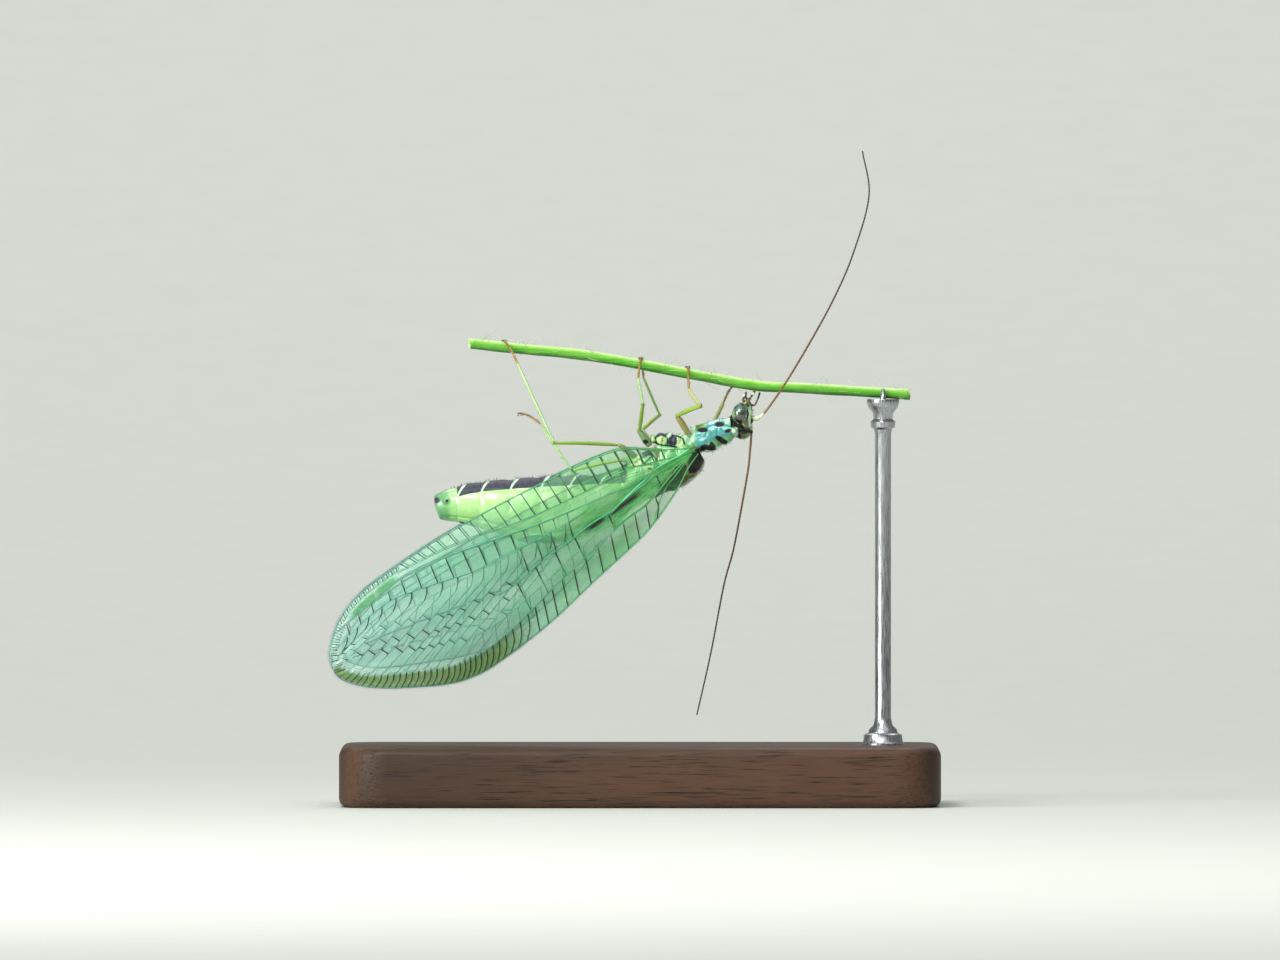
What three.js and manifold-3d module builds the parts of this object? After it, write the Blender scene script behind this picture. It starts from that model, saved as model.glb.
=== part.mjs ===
// Green lacewing at life size, hanging back down under a cut length of tendril on a small display stand.
// Millimetres, +Z up. The head points to +X, the animal's left side to -Y, its belly up.
// The origin is the centre of the stand's underside.
import * as THREE from "three";
import { mergeVertices } from "three/addons/utils/BufferGeometryUtils.js";
import Module from "manifold-3d";

const wasm = await Module();
wasm.setup();

// Display stand
const BASE_LENGTH = 20;
const BASE_DEPTH = 12;
const BASE_HEIGHT = 2;
const BASE_CORNER = 1.6;
const BASE_CHAMFER = 0.3;
const ROD_X = 8.1;
const ROD_RADIUS = 0.35;
const ROD_SIDES = 14;
const FERRULE_RADIUS = 0.7;
const FERRULE_HEIGHT = 0.3;
const SADDLE_RADIUS = 0.6;
const SADDLE_HEIGHT = 0.5;
const FLARE_HEIGHT = 0.35;

// Clear gap between touching pieces, and the smaller one that an eye keeps from the head
const GAP = 0.3;
const TRUNK_GAP = 0.25;
const EYE_GAP = 0.15;

// Tendril: centre line as X, Z points, one even thickness
const STEM_RADIUS = 0.25;
const STEM_SIDES = 5;
const STEM_STEPS = 16;
const STEM_LINE = [
  [-5.7, 15.38],
  [-3.67, 15.17],
  [-2.07, 15.02],
  [-0.2, 14.72],
  [2, 14.3],
  [3.93, 13.97],
  [5.33, 13.9],
  [7, 13.8],
  [9, 13.68],
];

// Head, mouth up and face to +X
const HEAD_CENTRE = [3.4, 0, 12.9];
const HEAD_HALF = [0.37, 0.6, 0.6];
const CUT_REACH = 30;
const HEAD_SIDE = 0.4;
const EYE_CENTRE = [3.33, 12.98];
const EYE_HALF = [0.27, 0.34, 0.34];
const HEAD_BUMPS = {
  crown: [0.02, 0, -0.5, 0.28, 0.34, 0.2],
  jaws: [0.14, 0, 0.42, 0.24, 0.26, 0.26],
  nape: [-0.28, 0, -0.2, 0.2, 0.32, 0.34],
};
const PALP_SIDES = 6;
const PALPS = [
  { root: [0.1, 0.14, 0.5, 0.1], tip: [0, 0.24, 0.62, 0.06] },
  { root: [0.2, 0.1, 0.5, 0.1], tip: [0.32, 0.2, 0.6, 0.06] },
];

// Trunk sections, head end first: X, Z, half height, half width. Each run reaches into the
// next, and thin cuts then part the whole trunk into its named pieces.
const PROTHORAX = [
  [3.05, 12.52, 0.34, 0.4],
  [2.82, 12.5, 0.42, 0.5],
  [2.45, 12.4, 0.44, 0.54],
  [2.1, 12.22, 0.42, 0.52],
  [1.7, 12.02, 0.36, 0.46],
];
const PTEROTHORAX = [
  [2.0, 11.76, 0.4, 0.46],
  [1.8, 11.66, 0.64, 0.68],
  [1.45, 11.52, 0.8, 0.8],
  [1.05, 11.34, 0.86, 0.84],
  [0.6, 11.14, 0.8, 0.76],
  [0.3, 11.0, 0.8, 0.72],
  [0.0, 10.88, 0.76, 0.68],
  [-0.5, 10.66, 0.6, 0.56],
];
const ABDOMEN = [
  [-0.1, 10.74, 0.44, 0.48],
  [-0.34, 10.62, 0.5, 0.52],
  [-1.0, 10.22, 0.86, 0.7],
  [-2.1, 9.93, 1.11, 0.84],
  [-3.17, 9.82, 1.16, 0.88],
  [-4.17, 9.86, 1.05, 0.86],
  [-5.0, 9.98, 0.87, 0.78],
  [-5.7, 10.02, 0.72, 0.66],
  [-6.3, 9.99, 0.58, 0.55],
  [-6.75, 9.93, 0.44, 0.42],
  [-6.87, 9.9, 0.22, 0.22],
];
const SEGMENT_LENGTH = 1.0;
const SEGMENT_FIRST = -0.65;
const SEGMENT_COUNT = 6;
const SEGMENT_GROOVE = 0.05;
const SEGMENT_PINCH = 0.09;

// Bumps on the trunk, each made on both sides: X, half span, Z, then its three half sizes
const TRUNK_BUMPS = {
  foreHip: [1.45, 0.36, 12.18, 0.22, 0.22, 0.22],
  midHip: [0.78, 0.36, 12.0, 0.24, 0.26, 0.22],
  hindHip: [-0.02, 0.32, 11.52, 0.24, 0.24, 0.24],
  foreLobe: [1.62, 0.36, 11.1, 0.34, 0.36, 0.26],
  rearLobe: [0.4, 0.32, 10.42, 0.3, 0.3, 0.22],
};

// The bump under the neck, on the middle plane
const NECK_BUMP = { place: [2.0, 0, 12.42], half: [0.2, 0.24, 0.24] };

// Cuts across the trunk: X and Z of a point on each, and its lean from upright in degrees
const CUTS = {
  neck: [2.96, 12.5, 6],
  waist: [1.9, 12.02, 36],
  middle: [0.58, 11.15, 24],
  belt: [-0.3, 10.8, 20],
};

// Legs: joints from hip to claw as X, Y, Z, with the radius at each
const LEG_SIDES = 7;
const LEGS = {
  fore_leg_left: [
    [1.44, -0.7, 12.78, 0.2],
    [1.24, -0.95, 13.0, 0.22],
    [2.02, -1.95, 13.3, 0.24],
    [1.62, -1.0, 13.85, 0.24],
    [1.6, -0.72, 14.56, 0.14],
  ],
  fore_leg_right: [
    [1.8, 0.78, 12.72, 0.2],
    [1.78, 0.98, 12.98, 0.22],
    [2.4, 1.9, 12.6, 0.24],
    [2.78, 1.15, 13.4, 0.22],
    [3.08, 0.72, 13.84, 0.14],
  ],
  mid_leg_left: [
    [0.18, -0.55, 12.28, 0.22],
    [-0.04, -0.9, 12.5, 0.22],
    [0.1, -2.05, 13.36, 0.24],
    [-0.06, -0.95, 14.25, 0.2],
    [0.02, -0.66, 14.84, 0.14],
  ],
  mid_leg_right: [
    [0.18, 0.55, 12.28, 0.22],
    [0.06, 0.9, 12.5, 0.22],
    [0.66, 2.05, 12.98, 0.24],
    [0.12, 1.0, 14.24, 0.2],
    [0.04, 0.66, 14.76, 0.14],
  ],
  hind_leg_left: [
    [-0.42, -0.66, 11.92, 0.22],
    [-0.7, -0.98, 12.02, 0.24],
    [-2.85, -2.0, 12.08, 0.25],
    [-4.08, -0.9, 14.72, 0.22],
    [-4.5, -0.64, 15.42, 0.14],
  ],
  hind_leg_right: [
    [-0.42, 0.66, 11.92, 0.22],
    [-0.74, 0.98, 11.94, 0.24],
    [-2.27, 1.62, 11.1, 0.25],
    [-3.33, 2.8, 12.68, 0.22],
    [-3.95, 3.1, 13.02, 0.14],
  ],
};

// Feelers: centre line as X, Y, Z points, thinning over their outer part
const ANTENNA_RADIUS = 0.25;
const ANTENNA_TIP_RADIUS = 0.08;
const ANTENNA_EVEN_SHARE = 0.6;
const ANTENNA_SIDES = 7;
const ANTENNA_STEPS = 14;
const ANTENNAE = {
  antenna_left: [
    [4.1, -0.32, 12.98],
    [4.84, -0.95, 14.06],
    [5.76, -1.2, 15.6],
    [6.5, -1.45, 16.98],
    [7.1, -1.7, 18.4],
    [7.62, -1.95, 20.3],
    [7.4, -2.2, 21.8],
  ],
  antenna_right: [
    [4.04, 0.36, 12.24],
    [3.72, 0.55, 11.5],
    [3.46, 0.85, 10.35],
    [3.12, 1.35, 8.5],
    [2.8, 1.75, 7.3],
    [2.36, 2.3, 5.0],
    [1.9, 2.95, 2.95],
  ],
};

// Wings. Each is laid out in its own plane: reach out from the root along SPAN, and fall
// from the leading edge along FALL as the side view shows it. The roof slope adds depth.
const SPAN = [-0.87, -0.493];
const FALL = [0.493, -0.87];
const WING_ORIGIN = [1.67, 11.67];
const ROOF_SLOPE = 0.556;
const ROOF_FOOT = 2.82;
const ROOF_RIDGE = 0.9;
const MEMBRANE_HALF = 0.21;
const RIDGE_RISE = 0.07;
const MARGIN_HALF = 0.1;
const ROOT_MARGIN_HALF = 0.2;
const FRONT_EDGE_SHARE = 0.035;
const BACK_EDGE_SHARE = 0.95;
const TIP_SHARE = 0.1;
const VEIN_BEND = 0.6;
const ROW_BUNCHING = 0.35;
const VEIN_HALF_WIDTH = 0.1;
const VEIN_HALF_SHARE = 0.022;
const HINDWING_INSET = 0.97;
const FOREWING = {
  front: [
    [0, -0.28],
    [1, -0.83],
    [2.5, -1.47],
    [5.5, -1.56],
    [8.2, -1.66],
    [10.8, -1.46],
    [12.5, -1.0],
    [13.5, -0.42],
    [13.88, 0.08],
  ],
  back: [
    [0, 0.3],
    [1, 0.86],
    [3.8, 1.87],
    [6.6, 2.57],
    [9.2, 2.82],
    [11.4, 2.42],
    [12.9, 1.68],
    [13.65, 0.95],
    [13.88, 0.3],
  ],
  // Place of each main vein across the wing, at the root and at the tip
  veins: [
    [0.4, 0.12],
    [0.52, 0.26],
    [0.62, 0.62],
    [0.76, 0.82],
  ],
  rows: 20,
  rootDepth: 1.25,
  rootReach: 0,
  settle: 2.2,
  inset: 0,
};
const HINDWING = {
  front: [
    [1.25, -0.4],
    [2.5, -0.8],
    [4.5, -1.05],
    [8, -1.12],
    [11, -0.98],
    [12.6, -0.55],
    [13.4, 0.0],
  ],
  back: [
    [1.25, 0.1],
    [2.4, 0.5],
    [5, 1.5],
    [7.4, 2.14],
    [9.3, 2.22],
    [11.2, 1.62],
    [12.5, 1.06],
    [13.4, 0.22],
  ],
  veins: [
    [0.35, 0.12],
    [0.5, 0.36],
    [0.65, 0.66],
  ],
  rows: 17,
  rootDepth: 1.12,
  rootReach: 1.25,
  settle: 2.0,
  inset: HINDWING_INSET,
};

// A closed geometry from vertices and triangle corners
function shell(vertices, corners) {
  const geometry = new THREE.BufferGeometry();
  const flat = vertices.flatMap((v) => [v.x, v.y, v.z]);
  geometry.setAttribute("position", new THREE.Float32BufferAttribute(flat, 3));
  geometry.setIndex(corners);
  return geometry;
}

// Skin over rings of equal count, each end closed to its own centre
function loft(rings) {
  const sides = rings[0].length;
  const vertices = rings.flat();
  const corners = [];
  for (let r = 0; r + 1 < rings.length; r++) {
    for (let i = 0; i < sides; i++) {
      const a = r * sides + i;
      const b = r * sides + ((i + 1) % sides);
      corners.push(a, b, a + sides, b, b + sides, a + sides);
    }
  }
  const last = (rings.length - 1) * sides;
  const first = vertices.push(centreOf(rings[0])) - 1;
  const final = vertices.push(centreOf(rings[rings.length - 1])) - 1;
  for (let i = 0; i < sides; i++) {
    const next = (i + 1) % sides;
    corners.push(first, next, i);
    corners.push(final, last + i, last + next);
  }
  return shell(vertices, corners);
}

function centreOf(ring) {
  const sum = ring.reduce((total, v) => total.add(v), new THREE.Vector3());
  return sum.divideScalar(ring.length);
}

// manifold-3d solids from geometries and back
function solid(geometry) {
  const bare = geometry.clone();
  bare.deleteAttribute("normal");
  bare.deleteAttribute("uv");
  const merged = mergeVertices(bare, 1e-4);
  const mesh = new wasm.Mesh({
    numProp: 3,
    vertProperties: merged.attributes.position.array,
    triVerts: new Uint32Array(merged.index.array),
  });
  return new wasm.Manifold(mesh);
}

function geometryOf(body) {
  const pieces = body.decompose().sort((a, b) => b.volume() - a.volume());
  const mesh = pieces[0].getMesh();
  const geometry = new THREE.BufferGeometry();
  geometry.setAttribute("position", new THREE.BufferAttribute(mesh.vertProperties, 3));
  geometry.setIndex(new THREE.BufferAttribute(mesh.triVerts, 1));
  return geometry;
}

function joined(geometries) {
  return geometryOf(geometries.map(solid).reduce((a, b) => a.add(b)));
}

function ellipsoid(centre, half, across = 16, down = 10) {
  const geometry = new THREE.SphereGeometry(1, across, down);
  geometry.scale(half[0], half[1], half[2]);
  geometry.translate(centre[0], centre[1], centre[2]);
  return geometry;
}

// A round tapering limb between two points, with blunt rounded ends
function limb(from, to, sides) {
  const start = new THREE.Vector3(...from);
  const end = new THREE.Vector3(...to);
  const way = end.clone().sub(start).normalize();
  const side = new THREE.Vector3(0, 1, 0).cross(way).normalize();
  const up = way.clone().cross(side);
  const startRadius = from[3];
  const endRadius = to[3];
  const stations = [
    [start, -0.8, 0.55, startRadius],
    [start, 0, 1, startRadius],
    [end, 0, 1, endRadius],
    [end, 0.8, 0.55, endRadius],
  ];
  const rings = stations.map(([place, shift, share, radius]) => {
    const centre = place.clone().addScaledVector(way, shift * radius);
    return circle(centre, side, up, share * radius, share * radius, sides);
  });
  return loft(rings);
}

function circle(centre, side, up, halfSide, halfUp, sides) {
  return Array.from({ length: sides }, (_, i) => {
    const turn = (2 * Math.PI * i) / sides;
    const point = centre.clone().addScaledVector(side, halfSide * Math.cos(turn));
    return point.addScaledVector(up, halfUp * Math.sin(turn));
  });
}

// Body sections set square to their own centre line
function bodyRings(sections, sides) {
  return sections.map(([x, z, halfHeight, halfWidth], i) => {
    const before = sections[Math.max(0, i - 1)];
    const after = sections[Math.min(sections.length - 1, i + 1)];
    const way = new THREE.Vector3(after[0] - before[0], 0, after[1] - before[1]).normalize();
    const side = new THREE.Vector3(0, 1, 0);
    const up = way.clone().cross(side);
    return circle(new THREE.Vector3(x, 0, z), side, up, halfWidth, halfHeight, sides);
  });
}

// Value of a table of rows at one X, eased between rows
function sectionAt(table, x) {
  const last = table.length - 2;
  let i = table.findIndex((row, k) => k <= last && x >= table[k + 1][0]);
  if (i < 0) {
    i = last;
  }
  const share = (x - table[i][0]) / (table[i + 1][0] - table[i][0]);
  const row = (k) => table[Math.min(Math.max(k, 0), table.length - 1)];
  return table[i].map((_, c) => {
    const [p, q, r, s] = [row(i - 1)[c], row(i)[c], row(i + 1)[c], row(i + 2)[c]];
    const bend = (r - p) * share + (2 * p - 5 * q + 4 * r - s) * share ** 2;
    return q + 0.5 * (bend + (3 * q - p - 3 * r + s) * share ** 3);
  });
}

function mesh(name, geometry, colour, roughness, metalness = 0) {
  const material = new THREE.MeshStandardMaterial({ color: colour, roughness, metalness });
  const made = new THREE.Mesh(geometry, material);
  made.name = name;
  return made;
}

function standBase() {
  const x = BASE_LENGTH / 2 - BASE_CHAMFER;
  const y = BASE_DEPTH / 2 - BASE_CHAMFER;
  const r = BASE_CORNER;
  const outline = new THREE.Shape();
  outline.moveTo(-x + r, -y);
  outline.lineTo(x - r, -y);
  outline.absarc(x - r, -y + r, r, -Math.PI / 2, 0);
  outline.absarc(x - r, y - r, r, 0, Math.PI / 2);
  outline.absarc(-x + r, y - r, r, Math.PI / 2, Math.PI);
  outline.absarc(-x + r, -y + r, r, Math.PI, 1.5 * Math.PI);
  const geometry = new THREE.ExtrudeGeometry(outline, {
    depth: BASE_HEIGHT - 2 * BASE_CHAMFER,
    bevelThickness: BASE_CHAMFER,
    bevelSize: BASE_CHAMFER,
    bevelSegments: 1,
    curveSegments: 5,
  });
  geometry.translate(0, 0, BASE_CHAMFER);
  return mesh("stand_base", geometryOf(solid(geometry)), "#5a3d28", 0.45);
}

function stemHeight(x) {
  return sectionAt([...STEM_LINE].reverse(), x)[1];
}

function standRod() {
  const foot = BASE_HEIGHT + GAP;
  const top = stemHeight(ROD_X) - STEM_RADIUS - GAP;
  const profile = [
    [0, foot],
    [FERRULE_RADIUS, foot],
    [FERRULE_RADIUS, foot + FERRULE_HEIGHT],
    [ROD_RADIUS, foot + FERRULE_HEIGHT + FLARE_HEIGHT],
    [ROD_RADIUS, top - SADDLE_HEIGHT - FLARE_HEIGHT],
    [SADDLE_RADIUS, top - SADDLE_HEIGHT],
    [SADDLE_RADIUS, top],
    [0, top],
  ];
  const points = profile.map(([r, z]) => new THREE.Vector2(r, z));
  const geometry = new THREE.LatheGeometry(points, ROD_SIDES);
  geometry.rotateX(Math.PI / 2);
  geometry.translate(ROD_X, 0, 0);
  return mesh("stand_rod", geometryOf(solid(geometry)), "#b9bcc0", 0.25, 1);
}

function perch() {
  const path = new THREE.CatmullRomCurve3(STEM_LINE.map(([x, z]) => new THREE.Vector3(x, 0, z)));
  const section = new THREE.Shape().absarc(0, 0, STEM_RADIUS, 0, 2 * Math.PI);
  const geometry = new THREE.ExtrudeGeometry(section, {
    steps: STEM_STEPS,
    curveSegments: STEM_SIDES,
    extrudePath: path,
  });
  return mesh("perch_stem", geometryOf(solid(geometry)), "#6fb43a", 0.5);
}

// Head capsule, flat where the eyes sit, with its crown, jaws, nape and palps grown on
function head() {
  const capsule = solid(ellipsoid(HEAD_CENTRE, HEAD_HALF, 18, 12));
  const [x, , z] = HEAD_CENTRE;
  let body = capsule;
  for (const side of [-1, 1]) {
    body = body.subtract(solid(sideBlock(side, HEAD_SIDE, x, z)));
  }
  const grown = Object.values(HEAD_BUMPS).map(([dx, y, dz, ...half]) => {
    return ellipsoid([x + dx, y, z + dz], half, 10, 7);
  });
  for (const side of [-1, 1]) {
    for (const { root, tip } of PALPS) {
      const [from, to] = [root, tip].map(([dx, y, dz, radius]) => [x + dx, side * y, z + dz, radius]);
      grown.push(limb(from, to, PALP_SIDES));
    }
  }
  for (const piece of grown) {
    body = body.add(solid(piece));
  }
  return mesh("head", geometryOf(sideOf(body, CUTS.neck, 1)), "#3a4034", 0.35);
}

// A block that starts at a distance from the middle plane and lies out on one side of it
function sideBlock(side, inner, x, z) {
  const block = new THREE.BoxGeometry(CUT_REACH, CUT_REACH, CUT_REACH);
  block.translate(x, side * (inner + CUT_REACH / 2), z);
  return block;
}

// The outer half of a ball, its flat face to the head
function eye(name, side) {
  const inner = HEAD_SIDE + EYE_GAP;
  const [x, z] = EYE_CENTRE;
  const ball = solid(ellipsoid([x, side * inner, z], EYE_HALF, 14, 10));
  const half = ball.subtract(solid(sideBlock(-side, -inner, x, z)));
  return mesh(name, geometryOf(half), "#2f4a34", 0.12, 0.4);
}

function antenna(name, line) {
  const path = new THREE.CatmullRomCurve3(line.map((p) => new THREE.Vector3(...p)), false, "centripetal");
  const frames = path.computeFrenetFrames(ANTENNA_STEPS);
  const rings = path.getSpacedPoints(ANTENNA_STEPS).map((point, i) => {
    const out = Math.max(0, (i / ANTENNA_STEPS - ANTENNA_EVEN_SHARE) / (1 - ANTENNA_EVEN_SHARE));
    const radius = ANTENNA_RADIUS + (ANTENNA_TIP_RADIUS - ANTENNA_RADIUS) * out;
    return circle(point, frames.normals[i], frames.binormals[i], radius, radius, ANTENNA_SIDES);
  });
  return mesh(name, geometryOf(solid(loft(rings))), "#4a3524", 0.5);
}

// Abdomen rings, each pinched a little where it joins the next
function abdomenSections() {
  const first = ABDOMEN[0][0];
  const last = ABDOMEN[ABDOMEN.length - 1][0];
  const places = [first, last];
  for (let i = 0; i <= SEGMENT_COUNT; i++) {
    const border = SEGMENT_FIRST - i * SEGMENT_LENGTH;
    places.push(border + SEGMENT_PINCH, border, border - SEGMENT_PINCH, border - SEGMENT_LENGTH / 2);
  }
  const inside = places.filter((x) => x <= first && x >= last).sort((a, b) => b - a);
  return inside.map((x) => {
    const [, z, halfHeight, halfWidth] = sectionAt(ABDOMEN, x);
    const turns = (SEGMENT_FIRST - x) / SEGMENT_LENGTH;
    const onBorder = Math.abs(turns - Math.round(turns)) < 0.01 && turns > -0.5;
    const dip = onBorder ? SEGMENT_GROOVE : 0;
    return [x, z, halfHeight - dip, halfWidth - dip];
  });
}

// The whole trunk as one solid, with the hips and the lobes of the back on both sides
function trunk() {
  const runs = [[PROTHORAX, 18], [PTEROTHORAX, 20], [abdomenSections(), 20]];
  const pieces = runs.map(([sections, sides]) => loft(bodyRings(sections, sides)));
  pieces.push(ellipsoid(NECK_BUMP.place, NECK_BUMP.half, 12, 8));
  for (const [x, span, z, ...half] of Object.values(TRUNK_BUMPS)) {
    pieces.push(ellipsoid([x, -span, z], half, 10, 8), ellipsoid([x, span, z], half, 10, 8));
  }
  return pieces.map(solid).reduce((a, b) => a.add(b));
}

// What lies on the tail side (way -1) or the head side (way 1) of a cut, half a gap clear of it
function sideOf(body, [x, z, lean], way) {
  const block = new THREE.BoxGeometry(CUT_REACH, CUT_REACH, CUT_REACH);
  block.translate((-way * (CUT_REACH - TRUNK_GAP)) / 2, 0, 0);
  block.rotateY((-lean * Math.PI) / 180);
  block.translate(x, 0, z);
  return body.subtract(solid(block));
}

function trunkNodes() {
  const whole = trunk();
  const nodes = [
    ["prothorax", "neck", "waist", "#4fc0a8"],
    ["mesothorax", "waist", "middle", "#7fbf5a"],
    ["metathorax", "middle", "belt", "#7fbf5a"],
    ["abdomen", "belt", null, "#a6d860"],
  ];
  return nodes.map(([name, ahead, behind, colour]) => {
    const front = sideOf(whole, CUTS[ahead], -1);
    const piece = behind ? sideOf(front, CUTS[behind], 1) : front;
    return mesh(name, geometryOf(piece), colour, 0.35);
  });
}

function leg(name, joints) {
  const pieces = joints.slice(1).map((joint, i) => limb(joints[i], joint, LEG_SIDES));
  return mesh(name, joined(pieces), "#b9cf6a", 0.45);
}

function eased(value) {
  const t = Math.min(Math.max(value, 0), 1);
  return t * t * (3 - 2 * t);
}

// One wing of the left side. Both faces share one pattern of triangles, and the main veins
// are raised in it, as is every second row across it for the crossveins.
function wing(plan) {
  const asCurve = (points) => new THREE.SplineCurve(points.map((p) => new THREE.Vector2(...p)));
  const front = asCurve(plan.front);
  const back = asCurve(plan.back);
  const tilt = Math.atan(ROOF_SLOPE);
  const outward = new THREE.Vector3(FALL[0] * Math.sin(tilt), -Math.cos(tilt), FALL[1] * Math.sin(tilt));
  const upper = [];
  const lower = [];
  let columns = 0;
  for (let row = 0; row <= plan.rows; row++) {
    const even = row / plan.rows;
    const along = THREE.MathUtils.lerp(even, Math.sin((even * Math.PI) / 2), ROW_BUNCHING);
    const lead = front.getPointAt(along);
    const trail = back.getPointAt(along);
    const across = veinPlaces(plan.veins, along, lead.distanceTo(trail));
    columns = across.length;
    for (const [share, kind] of across) {
      const flat = lead.clone().lerp(trail, share);
      const depth = wingDepth(plan, flat.x, flat.y);
      const middle = new THREE.Vector3(
        WING_ORIGIN[0] + SPAN[0] * flat.x + FALL[0] * flat.y,
        depth,
        WING_ORIGIN[1] + SPAN[1] * flat.x + FALL[1] * flat.y,
      );
      const half = wingHalf(kind, row, along);
      upper.push(middle.clone().addScaledVector(outward, half));
      lower.push(middle.addScaledVector(outward, -half));
    }
  }
  return blade(upper, lower, plan.rows + 1, columns);
}

// Where each line of points crosses the wing, from leading edge to trailing edge
function veinPlaces(veins, along, chord) {
  const places = [[0, "margin"], [FRONT_EDGE_SHARE, "edge"]];
  const half = Math.min(VEIN_HALF_WIDTH / chord, VEIN_HALF_SHARE);
  let before = FRONT_EDGE_SHARE + half;
  for (const [root, tip] of veins) {
    const centre = THREE.MathUtils.lerp(root, tip, along ** VEIN_BEND);
    places.push([(before + centre) / 2, "cell"]);
    places.push([centre - half, "cell"], [centre, "vein"], [centre + half, "cell"]);
    before = centre + half;
  }
  places.push([(before + BACK_EDGE_SHARE) / 2, "cell"], [BACK_EDGE_SHARE, "cell"], [1, "margin"]);
  return places;
}

function wingDepth(plan, reach, fall) {
  const roof = ROOF_RIDGE + ROOF_SLOPE * (ROOF_FOOT - fall) - plan.inset;
  const settled = eased((reach - plan.rootReach) / plan.settle);
  return -(plan.rootDepth + (roof - plan.rootDepth) * settled);
}

// Half thickness: thin at the margins and the tip, thickest on the veins
function wingHalf(kind, row, along) {
  if (kind === "margin") {
    return THREE.MathUtils.lerp(ROOT_MARGIN_HALF, MARGIN_HALF, eased(along * 4));
  }
  const fullness = Math.min(1, (1 - along) / TIP_SHARE);
  const crossvein = row % 2 ? 0 : RIDGE_RISE / 2;
  const rise = kind === "cell" ? crossvein : RIDGE_RISE;
  return THREE.MathUtils.lerp(MARGIN_HALF, MEMBRANE_HALF + rise, fullness);
}

// Two matching faces joined round their rim
function blade(upper, lower, rows, columns) {
  const corners = [];
  const shift = upper.length;
  const quad = (a, b, c, d) => corners.push(a, b, c, a, c, d);
  for (let r = 0; r + 1 < rows; r++) {
    for (let c = 0; c + 1 < columns; c++) {
      const a = r * columns + c;
      corners.push(a, a + columns + 1, a + 1, a, a + columns, a + columns + 1);
      const b = a + shift;
      corners.push(b, b + 1, b + columns + 1, b, b + columns + 1, b + columns);
    }
  }
  for (let r = 0; r + 1 < rows; r++) {
    const a = r * columns;
    quad(a, a + shift, a + columns + shift, a + columns);
    const b = a + columns - 1;
    quad(b, b + columns, b + columns + shift, b + shift);
  }
  for (let c = 0; c + 1 < columns; c++) {
    quad(c, c + 1, c + 1 + shift, c + shift);
    const a = (rows - 1) * columns + c;
    quad(a, a + shift, a + 1 + shift, a + 1);
  }
  return shell([...upper, ...lower], corners);
}

function wingPair(kind, plan) {
  const geometry = geometryOf(solid(wing(plan)));
  const left = mesh(kind + "_left", geometry, "#8fd6b4", 0.3);
  const right = mesh(kind + "_right", geometry, "#8fd6b4", 0.3);
  right.scale.y = -1;
  return [left, right];
}

const stand = new THREE.Group();
stand.add(standBase(), standRod(), perch());

const insect = new THREE.Group();
insect.add(head(), eye("eye_left", -1), eye("eye_right", 1));
insect.add(...trunkNodes());
for (const [name, line] of Object.entries(ANTENNAE)) {
  insect.add(antenna(name, line));
}
for (const [name, joints] of Object.entries(LEGS)) {
  insect.add(leg(name, joints));
}
insect.add(...wingPair("forewing", FOREWING), ...wingPair("hindwing", HINDWING));

const model = new THREE.Group();
model.add(stand, insect);

export default model;
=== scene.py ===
"""Green lacewing hanging under a cut tendril on a small display stand, at life size.

The animal is modelled in millimetres, belly up, head to +X and its left side to -Y.
Each finished piece is brought to metres as it is handed over.
"""

import math
import random

import bpy
import numpy as np
from mathutils import Matrix, Vector


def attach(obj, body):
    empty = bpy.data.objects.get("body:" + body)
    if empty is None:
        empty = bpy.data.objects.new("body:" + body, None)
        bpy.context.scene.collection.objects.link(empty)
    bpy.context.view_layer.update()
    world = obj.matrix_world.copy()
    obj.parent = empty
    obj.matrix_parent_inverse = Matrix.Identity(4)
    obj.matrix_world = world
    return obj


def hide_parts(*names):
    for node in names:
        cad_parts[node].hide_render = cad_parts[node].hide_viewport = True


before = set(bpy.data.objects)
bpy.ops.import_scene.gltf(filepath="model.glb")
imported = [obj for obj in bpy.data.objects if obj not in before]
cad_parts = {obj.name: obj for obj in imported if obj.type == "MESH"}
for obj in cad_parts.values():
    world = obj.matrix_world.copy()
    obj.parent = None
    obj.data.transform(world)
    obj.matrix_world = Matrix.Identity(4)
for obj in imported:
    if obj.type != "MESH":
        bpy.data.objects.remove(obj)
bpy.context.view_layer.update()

MM = 0.001
LEFT, RIGHT = -1, 1

# Camera
CAMERA_REACH = 1200.0
CAMERA_LIFT = 0.6
AIM = (0.0, 0.0, 10.83)
IMAGE_WIDTH = 1280
PIXELS_PER_MM = 30.0
VIEW_WIDTH = IMAGE_WIDTH / PIXELS_PER_MM
SENSOR = 36.0

# Tendril
TENDRIL_RADIUS = 0.17
CUT_STEP = 0.012
TENDRIL_LINE = [
    (-5.7, 15.38), (-3.67, 15.17), (-2.07, 15.02), (-0.2, 14.72), (2.0, 14.3),
    (3.93, 13.97), (5.33, 13.9), (7.0, 13.8), (9.0, 13.68),
]

# Display stand
BASE_SIZE = (20.0, 12.0, 2.0)
BASE_CORNER = 1.6
BASE_EDGE = 0.3
ROD_X = 8.1

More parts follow.
